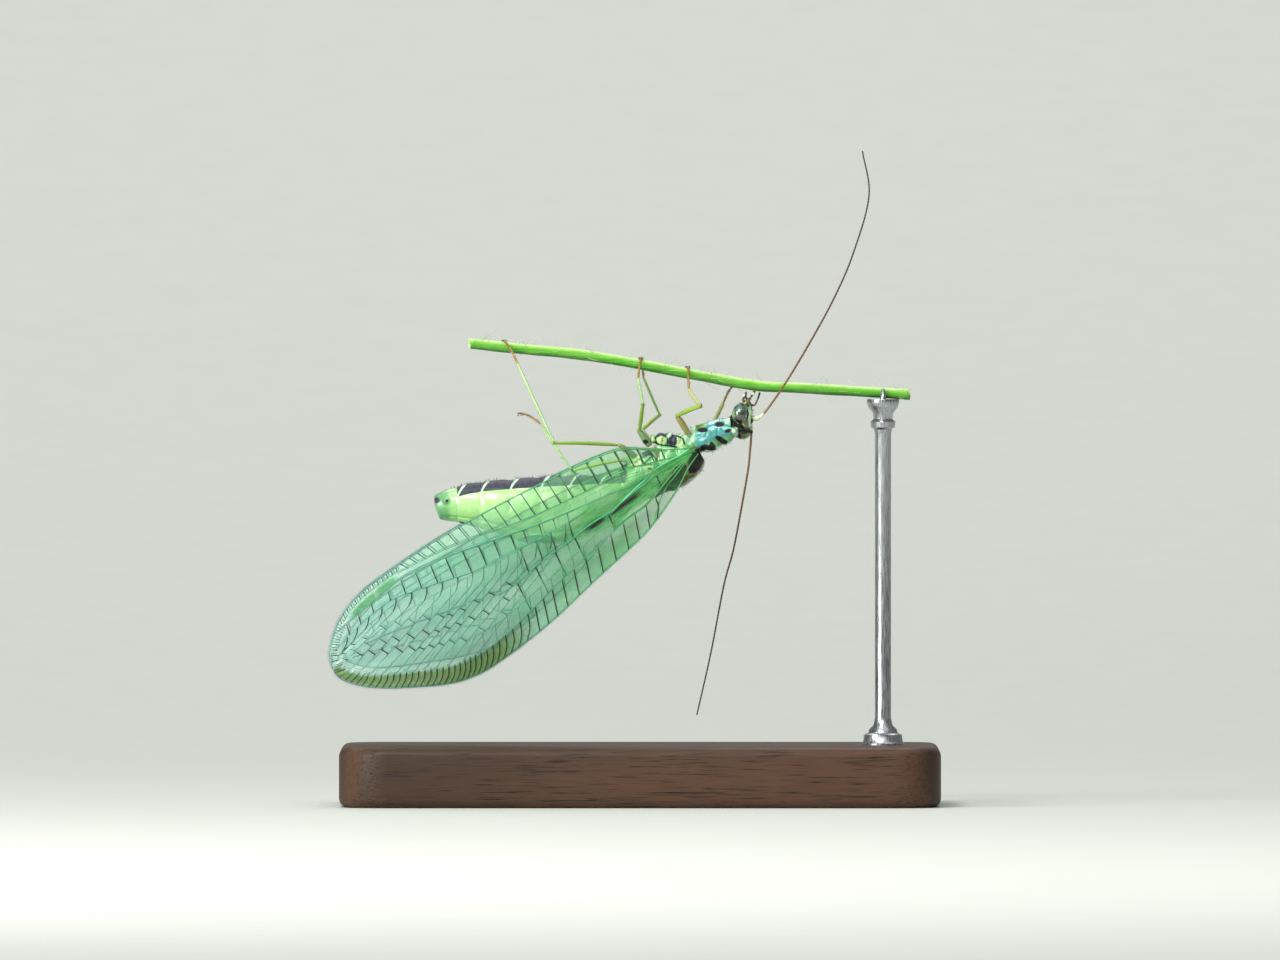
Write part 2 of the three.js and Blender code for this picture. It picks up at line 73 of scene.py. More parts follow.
# Trunk sections: X, Z, half height, half width
SKIN_INSET = 0.03
PROTHORAX = [
    (3.2, 12.62, 0.24, 0.3), (3.05, 12.52, 0.34, 0.4), (2.82, 12.5, 0.42, 0.5),
    (2.45, 12.4, 0.44, 0.54), (2.1, 12.22, 0.42, 0.52), (1.7, 12.02, 0.36, 0.46),
]
PTEROTHORAX = [
    (2.0, 11.76, 0.4, 0.46), (1.8, 11.66, 0.64, 0.68), (1.45, 11.52, 0.8, 0.8),
    (1.05, 11.34, 0.86, 0.84), (0.6, 11.14, 0.8, 0.76), (0.3, 11.0, 0.8, 0.72),
    (0.0, 10.88, 0.76, 0.68), (-0.5, 10.66, 0.6, 0.56),
]
ABDOMEN = [
    (-0.1, 10.74, 0.44, 0.48), (-0.34, 10.62, 0.5, 0.52), (-1.0, 10.22, 0.86, 0.7),
    (-2.1, 9.93, 1.11, 0.84), (-3.17, 9.82, 1.16, 0.88), (-4.17, 9.86, 1.05, 0.86),
    (-5.0, 9.98, 0.87, 0.78), (-5.7, 10.02, 0.72, 0.66), (-6.3, 9.99, 0.58, 0.55),
    (-6.75, 9.93, 0.44, 0.42), (-6.87, 9.9, 0.22, 0.22),
]
SEGMENT_BORDERS = [-0.5, -1.33, -2.33, -3.3, -4.33, -5.3, -6.1]
PLATE_DEPTH = 0.37
BAND_DEPTH = 0.6
BAND_BOW = 0.3

# Lumps on both sides of the trunk: X, distance out, Z, three half sizes
SIDE_LUMPS = {
    "fore_hip": (1.45, 0.4, 12.16, 0.2, 0.2, 0.22),
    "mid_hip": (0.74, 0.4, 12.0, 0.22, 0.24, 0.22),
    "hind_hip": (-0.04, 0.36, 11.5, 0.22, 0.22, 0.24),
    "neck_cone": (1.79, 0.26, 12.5, 0.12, 0.12, 0.16),
    "neck_knob": (1.68, 0.42, 11.98, 0.14, 0.14, 0.14),
    "rear_dome": (0.7, 0.44, 12.16, 0.19, 0.22, 0.25),
    "fore_dome": (1.23, 0.44, 12.12, 0.2, 0.22, 0.23),
    "mid_dome": (0.97, 0.42, 12.2, 0.2, 0.2, 0.21),
    "side_knob": (0.43, 0.5, 12.2, 0.11, 0.14, 0.16),
    "pale_ledge": (0.88, 0.6, 11.9, 0.34, 0.14, 0.07),
    "pleuron_1": (1.42, 0.56, 11.66, 0.3, 0.24, 0.44),
    "pleuron_2": (0.98, 0.6, 11.5, 0.26, 0.24, 0.5),
    "pleuron_3": (0.5, 0.52, 11.3, 0.24, 0.22, 0.44),
    "pleuron_4": (0.12, 0.48, 11.08, 0.22, 0.2, 0.42),
    "fore_shield": (1.62, 0.34, 11.1, 0.33, 0.34, 0.25),
    "mid_shield": (1.05, 0.26, 10.66, 0.26, 0.26, 0.2),
    "rear_shield": (0.4, 0.32, 10.42, 0.29, 0.29, 0.21),
    "cheek": (3.36, 0.26, 13.24, 0.18, 0.16, 0.14),
    "feeler_socket": (3.7, 0.2, 12.82, 0.08, 0.11, 0.12),
    "nape_lobe": (2.95, 0.3, 12.78, 0.14, 0.14, 0.12),
    "nape_knob": (3.12, 0.36, 12.47, 0.12, 0.12, 0.11),
    "collar_lobe": (2.6, 0.36, 12.5, 0.2, 0.16, 0.22),
}

# Lumps on the middle plane, the head's among them
MIDDLE_LUMPS = {
    "capsule": (3.4, 0.0, 12.88, 0.34, 0.56, 0.54),
    "face": (3.6, 0.0, 13.02, 0.17, 0.36, 0.3),
    "lip_shield": (3.62, 0.0, 13.3, 0.13, 0.25, 0.14),
    "upper_lip": (3.58, 0.0, 13.44, 0.1, 0.19, 0.1),
    "crown": (3.42, 0.0, 12.4, 0.26, 0.35, 0.22),
    "nape": (3.14, 0.0, 12.72, 0.2, 0.32, 0.32),
    "nape_shield": (2.75, 0.0, 12.25, 0.36, 0.4, 0.29),
    "collar_back": (2.3, 0.0, 12.05, 0.42, 0.44, 0.31),
}

# Eyes
EYE_PLACE = (3.32, 0.46, 13.02)
EYE_HALF = (0.255, 0.3, 0.33)

# Legs: root, trochanter, knee, ankle and claw as X, Y, Z
LEGS = {
    "fore_leg_left": (
        (1.6, -0.32, 12.4), (1.24, -0.86, 12.98), (2.02, -1.8, 13.3), (1.62, -0.84, 13.84),
        (1.6, -0.1, 14.58)
    ),
    "fore_leg_right": (
        (1.66, 0.3, 12.3), (1.85, 0.9, 12.58), (2.4, 1.8, 12.62), (2.78, 0.98, 13.4), (3.08, 0.14, 13.95)
    ),
    "mid_leg_left": (
        (0.3, -0.5, 12.0), (-0.02, -0.84, 12.48), (0.1, -1.95, 13.36), (-0.06, -0.82, 14.22),
        (0.02, -0.1, 14.88)
    ),
    "mid_leg_right": (
        (0.3, 0.5, 12.0), (0.06, 0.84, 12.48), (0.66, 1.95, 12.98), (0.12, 0.86, 14.22), (0.04, 0.1, 14.87)
    ),
    "hind_leg_left": (
        (-0.1, -0.36, 11.56), (-0.68, -0.9, 12.0), (-2.85, -1.95, 12.08), (-4.08, -0.82, 14.72),
        (-4.5, -0.1, 15.46)
    ),
    "hind_leg_right": (
        (-0.1, 0.36, 11.5), (-0.58, 0.95, 11.5), (-2.27, 1.62, 11.12), (-3.33, 2.76, 12.68),
        (-3.95, 3.08, 13.02)
    ),
}
LEG_SIZES = {"fore": (0.1, 0.082, 0.062), "mid": (0.11, 0.072, 0.045), "hind": (0.1, 0.066, 0.042)}

# Feelers: centre lines as X, Y, Z
FEELERS = {
    "antenna_left": [
        (3.78, -0.2, 12.86), (4.1, -0.36, 13.02), (4.84, -0.95, 14.06), (5.76, -1.2, 15.6),
        (6.5, -1.45, 16.98), (7.1, -1.7, 18.4), (7.62, -1.95, 20.3), (7.4, -2.2, 21.8),
    ],
    "antenna_right": [
        (3.66, 0.2, 12.72), (3.71, 0.26, 12.45), (3.7, 0.32, 12.15), (3.67, 0.42, 11.8), (3.61, 0.6, 11.2),
        (3.44, 0.85, 10.2), (3.12, 1.35, 8.5), (2.8, 1.75, 7.3), (2.36, 2.3, 5.0), (1.9, 2.95, 2.95),
    ],
}
FEELER_RADIUS = 0.04
FEELER_TIP = 0.022
FEELER_JOINTS = 88
FEELER_START = 0.34
SCAPE_LENGTH = 0.24
SCAPE_RADIUS = 0.08
PEDICEL_RADIUS = 0.058

# Wings. Reach runs out along SPAN and fall runs back from the leading edge along FALL.
SPAN = Vector((-0.87, 0.0, -0.493))
FALL = Vector((0.493, 0.0, -0.87))
WING_ORIGIN = Vector((1.67, 0.0, 11.67))
WING_LENGTH = 14.0
ROOF_SLOPE = 0.556
ROOF_FOOT = 2.82
ROOF_RIDGE = 0.9
MEMBRANE = 0.014
PLEATS = 3
PLEAT_HEIGHT = 0.035
CROSS_VEIN = 0.021

FOREWING = {
    "root_depth": 1.25, "root_reach": 0.0, "settle": 2.2, "inset": 0.0,
    "front": [
        (-0.25, -0.12), (0.3, -0.4), (1.0, -0.77), (1.69, -1.2), (2.36, -1.42), (3.8, -1.58),
        (5.93, -1.7), (8.0, -1.73), (9.5, -1.67), (11.26, -1.51), (12.0, -1.36), (12.5, -1.18),
        (13.0, -0.89), (13.4, -0.53), (13.74, -0.1), (13.86, 0.33),
    ],
    "back": [
        (-0.25, 0.1), (0.3, 0.36), (1.0, 0.82), (2.31, 1.44), (3.48, 1.76), (5.0, 2.11), (6.55, 2.5),
        (7.93, 2.75), (8.74, 2.85), (9.5, 2.9), (10.31, 2.8), (11.02, 2.56), (11.74, 2.22),
        (12.5, 1.83), (13.17, 1.4), (13.64, 0.94), (13.83, 0.62), (13.86, 0.42),
    ],
}
HINDWING = {
    "root_depth": 1.12, "root_reach": 1.25, "settle": 2.0, "inset": 0.97,
    "front": [
        (0.9, -0.2), (1.5, -0.46), (2.5, -0.8), (4.5, -1.05), (8.0, -1.12), (11.0, -0.98), (12.0, -0.78),
        (12.6, -0.55), (13.1, -0.25), (13.4, 0.06),
    ],
    "back": [
        (0.9, 0.0), (1.5, 0.2), (2.4, 0.5), (5.0, 1.5), (7.4, 2.14), (9.3, 2.24), (11.2, 1.62),
        (12.5, 1.06), (13.15, 0.55), (13.4, 0.16),
    ],
}

# Main veins of the forewing as reach and fall
FORE_VEINS = {
    "subcosta": [
        (-0.2, -0.03), (1, -0.35), (2, -0.62), (3, -0.68), (4, -0.7), (5, -0.78), (6, -0.9), (7, -1.06),
        (8, -1.22), (9, -1.34), (10.4, -1.39),
    ],
    "radius": [
        (-0.2, -0.08), (0.4, -0.14), (1, -0.16), (1.6, -0.12), (2.3, -0.12), (3, -0.2), (4.2, -0.34),
        (5.4, -0.49), (7, -0.77), (8.2, -0.99), (9.3, -1.13), (10.4, -1.18), (11, -1.08), (12.2, -0.85),
        (13, -0.7), (13.3, -0.62),
    ],
    "sector": [
        (3.6, -0.27), (4.2, -0.06), (5.7, -0.08), (7.1, -0.15), (8.2, -0.2), (8.8, -0.32), (9.35, -0.44),
        (10.4, -0.64), (11, -0.72), (12, -0.6), (12.9, -0.36), (13.5, -0.18),
    ],
    "media": [
        (0, -0.02), (0.8, -0.02), (1.6, 0.04), (2.4, 0.16), (3.2, 0.32), (4, 0.36), (5, 0.51), (6, 0.61),
        (7, 0.85), (7.9, 0.9),
    ],
    "cubitus": [
        (-0.05, 0.0), (0.32, 0.09), (1.1, 0.36), (1.6, 0.55), (2.14, 0.74), (3, 0.84), (4.17, 1.11),
        (5, 1.32), (6, 1.56), (7, 1.85), (8, 2.1), (9, 2.3), (9.9, 2.34),
    ],
    "anal": [(0.0, 0.03), (0.31, 0.15), (0.77, 0.36), (1.2, 0.52), (1.7, 0.9), (2.1, 1.3)],
}
HIND_VEINS = {
    "subcosta": [(1.0, -0.14), (2.4, -0.5), (4.5, -0.74), (8, -0.86), (10, -0.82), (11.4, -0.72)],
    "radius": [
        (1.0, -0.12), (2.4, -0.4), (4.5, -0.56), (8, -0.66), (10.5, -0.58), (12, -0.38), (12.8, -0.14),
    ],
    "sector": [
        (2.4, -0.36), (4.0, -0.1), (6.5, -0.04), (8.5, -0.12), (10, -0.16), (11.5, -0.06), (12.8, 0.14),
    ],
    "media": [(1.2, -0.08), (2.4, 0.02), (4, 0.3), (6, 0.56), (7.4, 0.78)],
    "cubitus": [(1.2, -0.05), (2.4, 0.2), (4, 0.74), (6, 1.26), (8, 1.68), (9.2, 1.74)],
}

# Where crossveins leave the vein in front
COSTAL_STARTS = [
    0.76, 1.12, 1.45, 1.79, 2.14, 2.64, 3.13, 3.64, 4.11, 4.57, 5.05, 5.52, 6.02, 6.5, 7.0, 7.45, 7.88,
    8.29, 8.73, 9.1, 9.48, 9.8, 10.15,
]
RADIAL_STARTS = [4.5, 5.0, 5.5, 6.05, 6.5, 7.08, 7.6, 8.15, 8.75, 9.3, 9.85, 10.4, 10.95, 11.65, 12.2, 12.7]
MIDDLE_STARTS = [1.3, 3.33, 4.69, 5.5, 6.31, 7.1]
INNER_STARTS = [4.6, 5.3, 5.85, 6.45]
HIND_STARTS = [2.1, 2.57, 3.05, 3.6, 4.17, 4.71, 5.24, 5.75, 6.2, 6.6, 6.98]

# Branches of the sector vein leave it steeply, then run out along the wing side by side.
# Short dark steps join them in three rows.
BRANCH_STARTS = [
    4.75, 5.3, 5.85, 6.4, 6.9, 7.35, 7.8, 8.22, 8.72, 9.25, 9.78, 10.3, 10.85, 11.4, 11.95, 12.45, 12.9,
]
BRANCH_KNEE = (0.3, 0.5)
BRANCH_SLOPE = (0.42, 0.27)
STEP_ROWS = [
    [
        (6.6, 0.86), (8.0, 0.84), (8.6, 0.8), (9.4, 0.8), (10.0, 0.58), (10.6, 0.4), (11.1, 0.2),
        (11.7, 0.03), (12.6, 0.0), (13.3, -0.1),
    ],
    [
        (7.0, 1.16), (8.2, 1.34), (8.8, 1.24), (9.6, 1.13), (10.1, 1.0), (10.8, 0.84), (11.3, 0.68),
        (11.8, 0.46), (12.4, 0.28), (13.2, 0.1),
    ],
    [
        (7.0, 1.5), (8.5, 1.72), (9.4, 1.8), (9.8, 1.62), (10.4, 1.42), (11.0, 1.22), (11.5, 1.0),
        (12.0, 0.8), (12.35, 0.62), (12.8, 0.4), (13.3, 0.28),
    ],
]
STEP_LEAN = 0.13
STRAND_STOPS = (0.2, 1, 1.8, 2.6, 3.4, 4.2)
BELT = [
    (7.3, 1.9), (8.0, 2.12), (9.0, 2.28), (10.3, 2.22), (11.0, 1.98), (11.7, 1.68), (12.5, 1.34),
    (13.1, 0.98), (13.5, 0.6), (13.66, 0.3),
]
BELT_VEIN = (0.018, 0.013)

# Veinlets fanned round the tip run from the first line to the second
TIP_INNER = [(13.05, 1.02), (13.42, 0.66), (13.5, 0.3), (13.42, -0.1), (13.16, -0.4), (12.9, -0.62)]
TIP_OUTER = [(13.45, 1.16), (13.76, 0.76), (13.86, 0.36), (13.72, -0.14), (13.42, -0.5), (13.04, -0.86)]

# Bent dark vein and bright vein near the forewing's root
ROOT_VEIN = [(0.77, 0.2), (0.95, 0.34), (1.3, 0.5), (1.68, 0.66), (1.75, 0.95)]
BRIGHT_LINE = [
    (-0.04, -0.2), (0.4, -0.17), (1.05, -0.18), (1.57, -0.08), (2.46, 0.14), (3.2, 0.36), (3.7, 0.34),
]


# Selecting and shaping

def clear():
    """Object mode with nothing selected."""
    if bpy.context.mode != "OBJECT":
        bpy.ops.object.mode_set(mode="OBJECT")
    bpy.ops.object.select_all(action="DESELECT")


def pick(pieces):
    clear()
    for piece in pieces:
        piece.select_set(True)
    bpy.context.view_layer.objects.active = pieces[0]


def join(name, pieces):
    pick(pieces)
    if len(pieces) > 1:
        bpy.ops.object.join()
    made = bpy.context.view_layer.objects.active
    made.name = name
    made.data.name = name
    return made


def modify(piece, kind, **settings):
    """Adds a modifier and applies it."""
    pick([piece])
    modifier = piece.modifiers.new(kind.lower(), kind)
    for key, value in settings.items():
        setattr(modifier, key, value)
    bpy.ops.object.modifier_apply(modifier=modifier.name)
    return piece


def axes(way, side):
    """Columns: across, up and along."""
    way = way.normalized()
    side = side - way * side.dot(way)
    if side.length < 1e-4:
        side = way.orthogonal()
    side.normalize()
    return Matrix((side, way.cross(side), way)).transposed()


def turn_selected(turn, centre):
    for axis, angle in zip("XYZ", turn.to_euler("XYZ")):
        if abs(angle) > 1e-6:
            bpy.ops.transform.rotate(
                value=-angle, orient_axis=axis, orient_type="GLOBAL", center_override=centre
            )


def bar(name, stations, sides=12, side=Vector((0, 1, 0)), along=None):
    """A closed bar: one ring, extruded through the stations, sized and turned at each.

    A station is a place with its half width, and its half height where that differs.
    """
    clear()
    bpy.ops.mesh.primitive_circle_add(vertices=sides, radius=1, fill_type="NGON")
    piece = bpy.context.object
    piece.name = name
    bpy.ops.object.mode_set(mode="EDIT")
    bpy.ops.mesh.select_all(action="SELECT")
    places = [Vector(station[:3]) for station in stations]
    sizes = [(station[3], station[-1]) for station in stations]
    frame_now = Matrix.Identity(3)
    centre = Vector((0, 0, 0))
    wide, high = 1.0, 1.0
    for i, place in enumerate(places):
        before = places[max(0, i - 1)]
        after = places[min(len(places) - 1, i + 1)]
        if i:
            bpy.ops.mesh.extrude_region_move()
        growth = (sizes[i][0] / wide, sizes[i][1] / high, 1)
        bpy.ops.transform.resize(value=growth, orient_type="GLOBAL", orient_matrix=frame_now,
                                 orient_matrix_type="GLOBAL", center_override=centre)
        target = axes(after - before, side)
        turn_selected(target @ frame_now.inverted(), centre)
        bpy.ops.transform.translate(value=place - centre)
        frame_now, centre = target, place
        wide, high = sizes[i]
    bpy.ops.mesh.select_all(action="SELECT")
    bpy.ops.mesh.normals_make_consistent(inside=False)
    bpy.ops.object.mode_set(mode="OBJECT")
    if along is not None:
        shares = np.repeat(np.linspace(along[0], along[1], len(stations)), sides)
        attribute = piece.data.attributes.new("along", "FLOAT", "POINT")
        attribute.data.foreach_set("value", shares.astype(np.float32))
    return piece


def ball(name, place, half, segments=24, rings=16):
    clear()
    bpy.ops.mesh.primitive_uv_sphere_add(
        segments=segments, ring_count=rings, radius=1, location=place, scale=half
    )
    piece = bpy.context.object
    piece.name = name
    bpy.ops.object.transform_apply(location=True, rotation=True, scale=True)
    return piece


def flowing(points, steps):
    """Rows along a smooth line through the given rows."""
    rows = [np.array(p, float) for p in points]
    rows = [2 * rows[0] - rows[1], *rows, 2 * rows[-1] - rows[-2]]
    made = []
    for i in range(1, len(rows) - 2):
        p, q, r, s = rows[i - 1:i + 3]
        for k in range(steps):
            t = k / steps
            bend = (r - p) + t * ((2 * p - 5 * q + 4 * r - s) + t * (3 * q - p - 3 * r + s))
            made.append(q + 0.5 * t * bend)
    made.append(rows[-2])
    return np.array(made)


def evenly(points, count):
    """Evenly spaced rows along the smooth line through the given rows."""
    line = flowing(points, 12)
    lengths = np.concatenate([[0], np.cumsum(np.linalg.norm(np.diff(line[:, :3], axis=0), axis=1))])
    wanted = np.linspace(0, lengths[-1], count)
    return np.stack([np.interp(wanted, lengths, column) for column in line.T], axis=1)


def at(rows, x):
    """A table's row at one X, on the smooth line through its rows."""
    line = flowing(rows, 8)
    order = np.argsort(line[:, 0])
    return [float(np.interp(x, line[order, 0], line[order, c])) for c in range(line.shape[1])]


def places_of(piece):
    flat = np.empty(len(piece.data.vertices) * 3, np.float32)
    piece.data.vertices.foreach_get("co", flat)
    return flat.reshape(-1, 3).astype(float)


def normals_of(piece):
    flat = np.empty(len(piece.data.vertices) * 3, np.float32)
    piece.data.vertex_normals.foreach_get("vector", flat)
    return flat.reshape(-1, 3).astype(float)


def move_to(piece, places):
    piece.data.vertices.foreach_set("co", places.astype(np.float32).ravel())
    piece.data.update()


def give(piece, name, values):
    """Stores one value per vertex for the materials."""
    attribute = piece.data.attributes.get(name) or piece.data.attributes.new(name, "FLOAT", "POINT")
    attribute.data.foreach_set("value", np.asarray(values, np.float32))


# A bristle's bend at its tip, and the breadth of its patch on the unrolled skin
BRISTLE_BEND = 0.0032
PATCH = 0.003


def root_patches(seats):
    """Each bristle's place on the skin unrolled about its longest axis, in the unit square."""
    roots, ways = (np.array([tuple(seat[k]) for seat in seats]) for k in (0, 1))
    low, high = roots.min(axis=0), roots.max(axis=0)
    long = int(np.argmax(high - low))
    across, up = (axis for axis in range(3) if axis != long)
    run = (roots[:, long] - low[long]) / (high[long] - low[long])
    around = np.arctan2(ways[:, up], ways[:, across]) / math.tau + 0.5
    return np.stack([run, around], axis=1) * (1 - PATCH)


def strew(name, pattern, seats):
    """Copies of one small piece, each at a place, pointing along a way, at a length and a thickness."""
    source = places_of(pattern)
    faces = [tuple(face.vertices) for face in pattern.data.polygons]
    bpy.data.objects.remove(pattern)
    verts, polys = [], []
    for k, (place, way, length, thick) in enumerate(seats):
        turn = np.array(axes(Vector(way), Vector((0.3, 0.9, 0.2))))
        scaled = source * (thick, thick, length)
        verts.append(scaled @ turn.T + np.array(place))
        polys += [tuple(v + k * len(source) for v in face) for face in faces]
    mesh = bpy.data.meshes.new(name)
    mesh.from_pydata(np.concatenate(verts).tolist(), [], polys)
    corners = np.concatenate(faces)
    around = np.arctan2(source[corners, 1], source[corners, 0]) / math.tau + 0.5
    patch_share = np.stack([around, source[corners, 2]], axis=1)
    flat = root_patches(seats)[:, None] + patch_share[None] * PATCH
    mesh.uv_layers.new(name="OFBake").data.foreach_set("uv", flat.astype(np.float32).ravel())
    piece = bpy.data.objects.new(name, mesh)
    bpy.context.scene.collection.objects.link(piece)
    return piece


def hair():
    """One bristle, a unit long and a unit thick at its root, bending a little."""
    shape = [(0, 0.5), (0.35, 0.42), (0.7, 0.28), (1, 0.06)]
    return bar("bristle", [(BRISTLE_BEND * t * t, 0, t, r) for t, r in shape], sides=4)


def settle(piece, material, slot, *nodes, smooth=True, angle=None):
    """Brings a piece to metres and hands it over."""
    pick([piece])
    piece.data.transform(Matrix.Scale(MM, 4))
    piece.data.update()
    if smooth:
        bpy.ops.object.shade_smooth()
    if angle:
        bpy.ops.object.shade_smooth_by_angle(angle=math.radians(angle))
    piece.data.materials.clear()
    piece.data.materials.append(material)
    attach(piece, "root")
    if nodes:
        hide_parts(*nodes)
    return piece


# Shader building

def tone(code):
    """Linear colour from a hex code."""
    parts = [int(code[i:i + 2], 16) / 255 for i in (0, 2, 4)]
    linear = [c / 12.92 if c <= 0.04045 else ((c + 0.055) / 1.055) ** 2.4 for c in parts]
    return (*linear, 1.0)


def feed(tree, socket, value):
    if isinstance(value, bpy.types.NodeSocket):
        tree.links.new(value, socket)
    else:
        socket.default_value = value


def add(tree, kind, inputs=None, out=0, **settings):
    """Adds a node, feeds its inputs and returns one of its outputs."""
    node = tree.nodes.new(kind)
    for key, value in settings.items():
        setattr(node, key, value)
    for key, value in (inputs or {}).items():
        feed(tree, node.inputs[key], value)
    return node.outputs[out]


def maths(tree, operation, *values):
    return add(tree, "ShaderNodeMath", dict(enumerate(values)), operation=operation)


def mix(tree, share, first, second, blend="MIX"):
    inputs = {0: share, 6: first, 7: second}
    return add(tree, "ShaderNodeMix", inputs, out=2, data_type="RGBA", blend_type=blend)


def span_map(tree, value, low, high, first=0.0, last=1.0):
    inputs = {"Value": value, "From Min": low, "From Max": high, "To Min": first, "To Max": last}
    return add(tree, "ShaderNodeMapRange", inputs, clamp=True)


def ramp(tree, value, stops, interpolation="LINEAR"):
    node = tree.nodes.new("ShaderNodeValToRGB")
    node.color_ramp.interpolation = interpolation
    tree.links.new(value, node.inputs[0])
    elements = node.color_ramp.elements
    while len(elements) < len(stops):
        elements.new(0.5)
    for element, (position, colour) in zip(elements, stops):
        element.position = position
        element.color = tone(colour) if isinstance(colour, str) else (colour, colour, colour, 1)
    return node.outputs[0]


def coords(tree, stretch=(1, 1, 1)):
    """Object coordinates in millimetres."""
    place = add(tree, "ShaderNodeTexCoord", out=3)
    scale = tuple(s / MM for s in stretch)
    return add(tree, "ShaderNodeMapping", {"Vector": place, "Scale": scale})


def reading(tree, name):
    return add(tree, "ShaderNodeAttribute", out=2, attribute_name=name)


def noise(tree, where, scale, detail=3.0, out=0):
    return add(tree, "ShaderNodeTexNoise", {"Vector": where, "Scale": scale, "Detail": detail}, out=out)


def new_group(name, inputs, outputs):
    tree = bpy.data.node_groups.new(name, "ShaderNodeTree")
    for label, kind, value in inputs:
        socket = tree.interface.new_socket(name=label, in_out="INPUT", socket_type=kind)
        if value is not None:
            socket.default_value = value
    for label, kind in outputs:
        tree.interface.new_socket(name=label, in_out="OUTPUT", socket_type=kind)
    return tree, tree.nodes.new("NodeGroupInput").outputs, tree.nodes.new("NodeGroupOutput").inputs


def place_group(tree, group, inputs, out=0):
    node = tree.nodes.new("ShaderNodeGroup")
    node.node_tree = group
    for key, value in inputs.items():
        feed(tree, node.inputs[key], value)
    return node.outputs[out]


def mark_group():
    """Turns a soft painted value into a mark with a slightly uneven edge."""
    tree, given, made = new_group(
        "uneven_mark",
        [("Value", "NodeSocketFloat", 0.0), ("Place", "NodeSocketVector", None),
         ("Scale", "NodeSocketFloat", 9.0), ("Wobble", "NodeSocketFloat", 0.35)],
        [("Mask", "NodeSocketFloat")],
    )
    wobble = maths(tree, "SUBTRACT", noise(tree, given["Place"], given["Scale"], 3.0), 0.5)
    moved = maths(tree, "ADD", given["Value"], maths(tree, "MULTIPLY", wobble, given["Wobble"]))
    feed(tree, made["Mask"], span_map(tree, moved, 0.36, 0.64))
    return tree


def mottle_group():
    """Uneven tone: a colour pulled towards a lighter and a darker one."""
    tree, given, made = new_group(
        "mottle",
        [("Colour", "NodeSocketColor", (0.5, 0.5, 0.5, 1)), ("Place", "NodeSocketVector", None),
         ("Scale", "NodeSocketFloat", 4.0), ("Amount", "NodeSocketFloat", 0.3)],
        [("Colour", "NodeSocketColor")],
    )
    coarse = noise(tree, given["Place"], given["Scale"], 4.0)
    fine = noise(tree, given["Place"], maths(tree, "MULTIPLY", given["Scale"], 5.0), 2.0)
    both = maths(tree, "ADD", maths(tree, "MULTIPLY", coarse, 0.7), maths(tree, "MULTIPLY", fine, 0.3))
    swing = maths(tree, "MULTIPLY", maths(tree, "SUBTRACT", both, 0.5), given["Amount"])
    level = maths(tree, "ADD", 1.0, maths(tree, "MULTIPLY", swing, 2.0))
    grey = add(tree, "ShaderNodeCombineColor", {0: level, 1: level, 2: level})
    feed(tree, made["Colour"], mix(tree, 1.0, given["Colour"], grey, "MULTIPLY"))
    return tree


def mottled(tree, colour, where, scale, amount):
    inputs = {"Colour": colour, "Place": where, "Scale": scale, "Amount": amount}
    return place_group(tree, MOTTLE, inputs)


def painted_mark(tree, name, where, scale=9.0, wobble=0.35):
    inputs = {"Value": reading(tree, name), "Place": where, "Scale": scale, "Wobble": wobble}
    return place_group(tree, MARK, inputs)


def blank(name):
    """A new material with its node tree and its Principled shader."""
    material = bpy.data.materials.new(name)
    material.use_nodes = True
    tree = material.node_tree
    shader = tree.nodes["Principled BSDF"]
    return material, tree, shader


def finish_surface(material, tree, shader, colour, roughness, height=None, bump=0.3, reach=0.02, **extra):
    """Feeds the shader. Extra values go to the sockets that they are named after."""
    feed(tree, shader.inputs["Base Color"], colour)
    feed(tree, shader.inputs["Roughness"], roughness)
    if height is not None:
        inputs = {"Strength": bump, "Distance": reach * MM, "Height": height}
        feed(tree, shader.inputs["Normal"], add(tree, "ShaderNodeBump", inputs))
    for key, value in extra.items():
        feed(tree, shader.inputs[key.replace("_", " ").title().replace("Ior", "IOR")], value)
    return material


# Materials

def wood_finish():
    material, tree, shader = blank("dark_walnut")
    where = coords(tree, (0.12, 1.0, 1.0))
    figure = {"Vector": where, "Scale": 0.2, "Distortion": 7.0, "Detail": 3.0, "Detail Scale": 0.7}
    rings = add(tree, "ShaderNodeTexWave", figure, out=1, bands_direction="Y")
    pores = noise(tree, coords(tree, (0.5, 14.0, 14.0)), 1.6, 3.0)
    grain = ramp(tree, rings, [(0.0, "3a281d"), (0.5, "453023"), (1.0, "523828")])
    colour = mottled(tree, grain, coords(tree, (0.4, 6, 6)), 1.5, 0.35)
    dark = mix(tree, span_map(tree, pores, 0.56, 0.7), colour, tone("1d110a"))
    rough = span_map(tree, pores, 0.3, 0.75, 0.48, 0.68)
    height = maths(tree, "SUBTRACT", maths(tree, "MULTIPLY", rings, 0.3), span_map(tree, pores, 0.55, 0.7))
    return finish_surface(material, tree, shader, dark, rough, height, 0.25, 0.03,
                          coat_weight=0.06, coat_roughness=0.3, specular_ior_level=0.3)


def steel_finish():
    material, tree, shader = blank("brushed_steel")
    streaks = noise(tree, coords(tree, (9, 9, 0.6)), 3.0, 4.0)
    colour = ramp(tree, streaks, [(0.3, "8f9297"), (0.7, "c9ccd0")])
    rough = span_map(tree, streaks, 0.3, 0.7, 0.2, 0.4)
    return finish_surface(material, tree, shader, colour, rough, streaks, 0.12, 0.01, metallic=1.0)


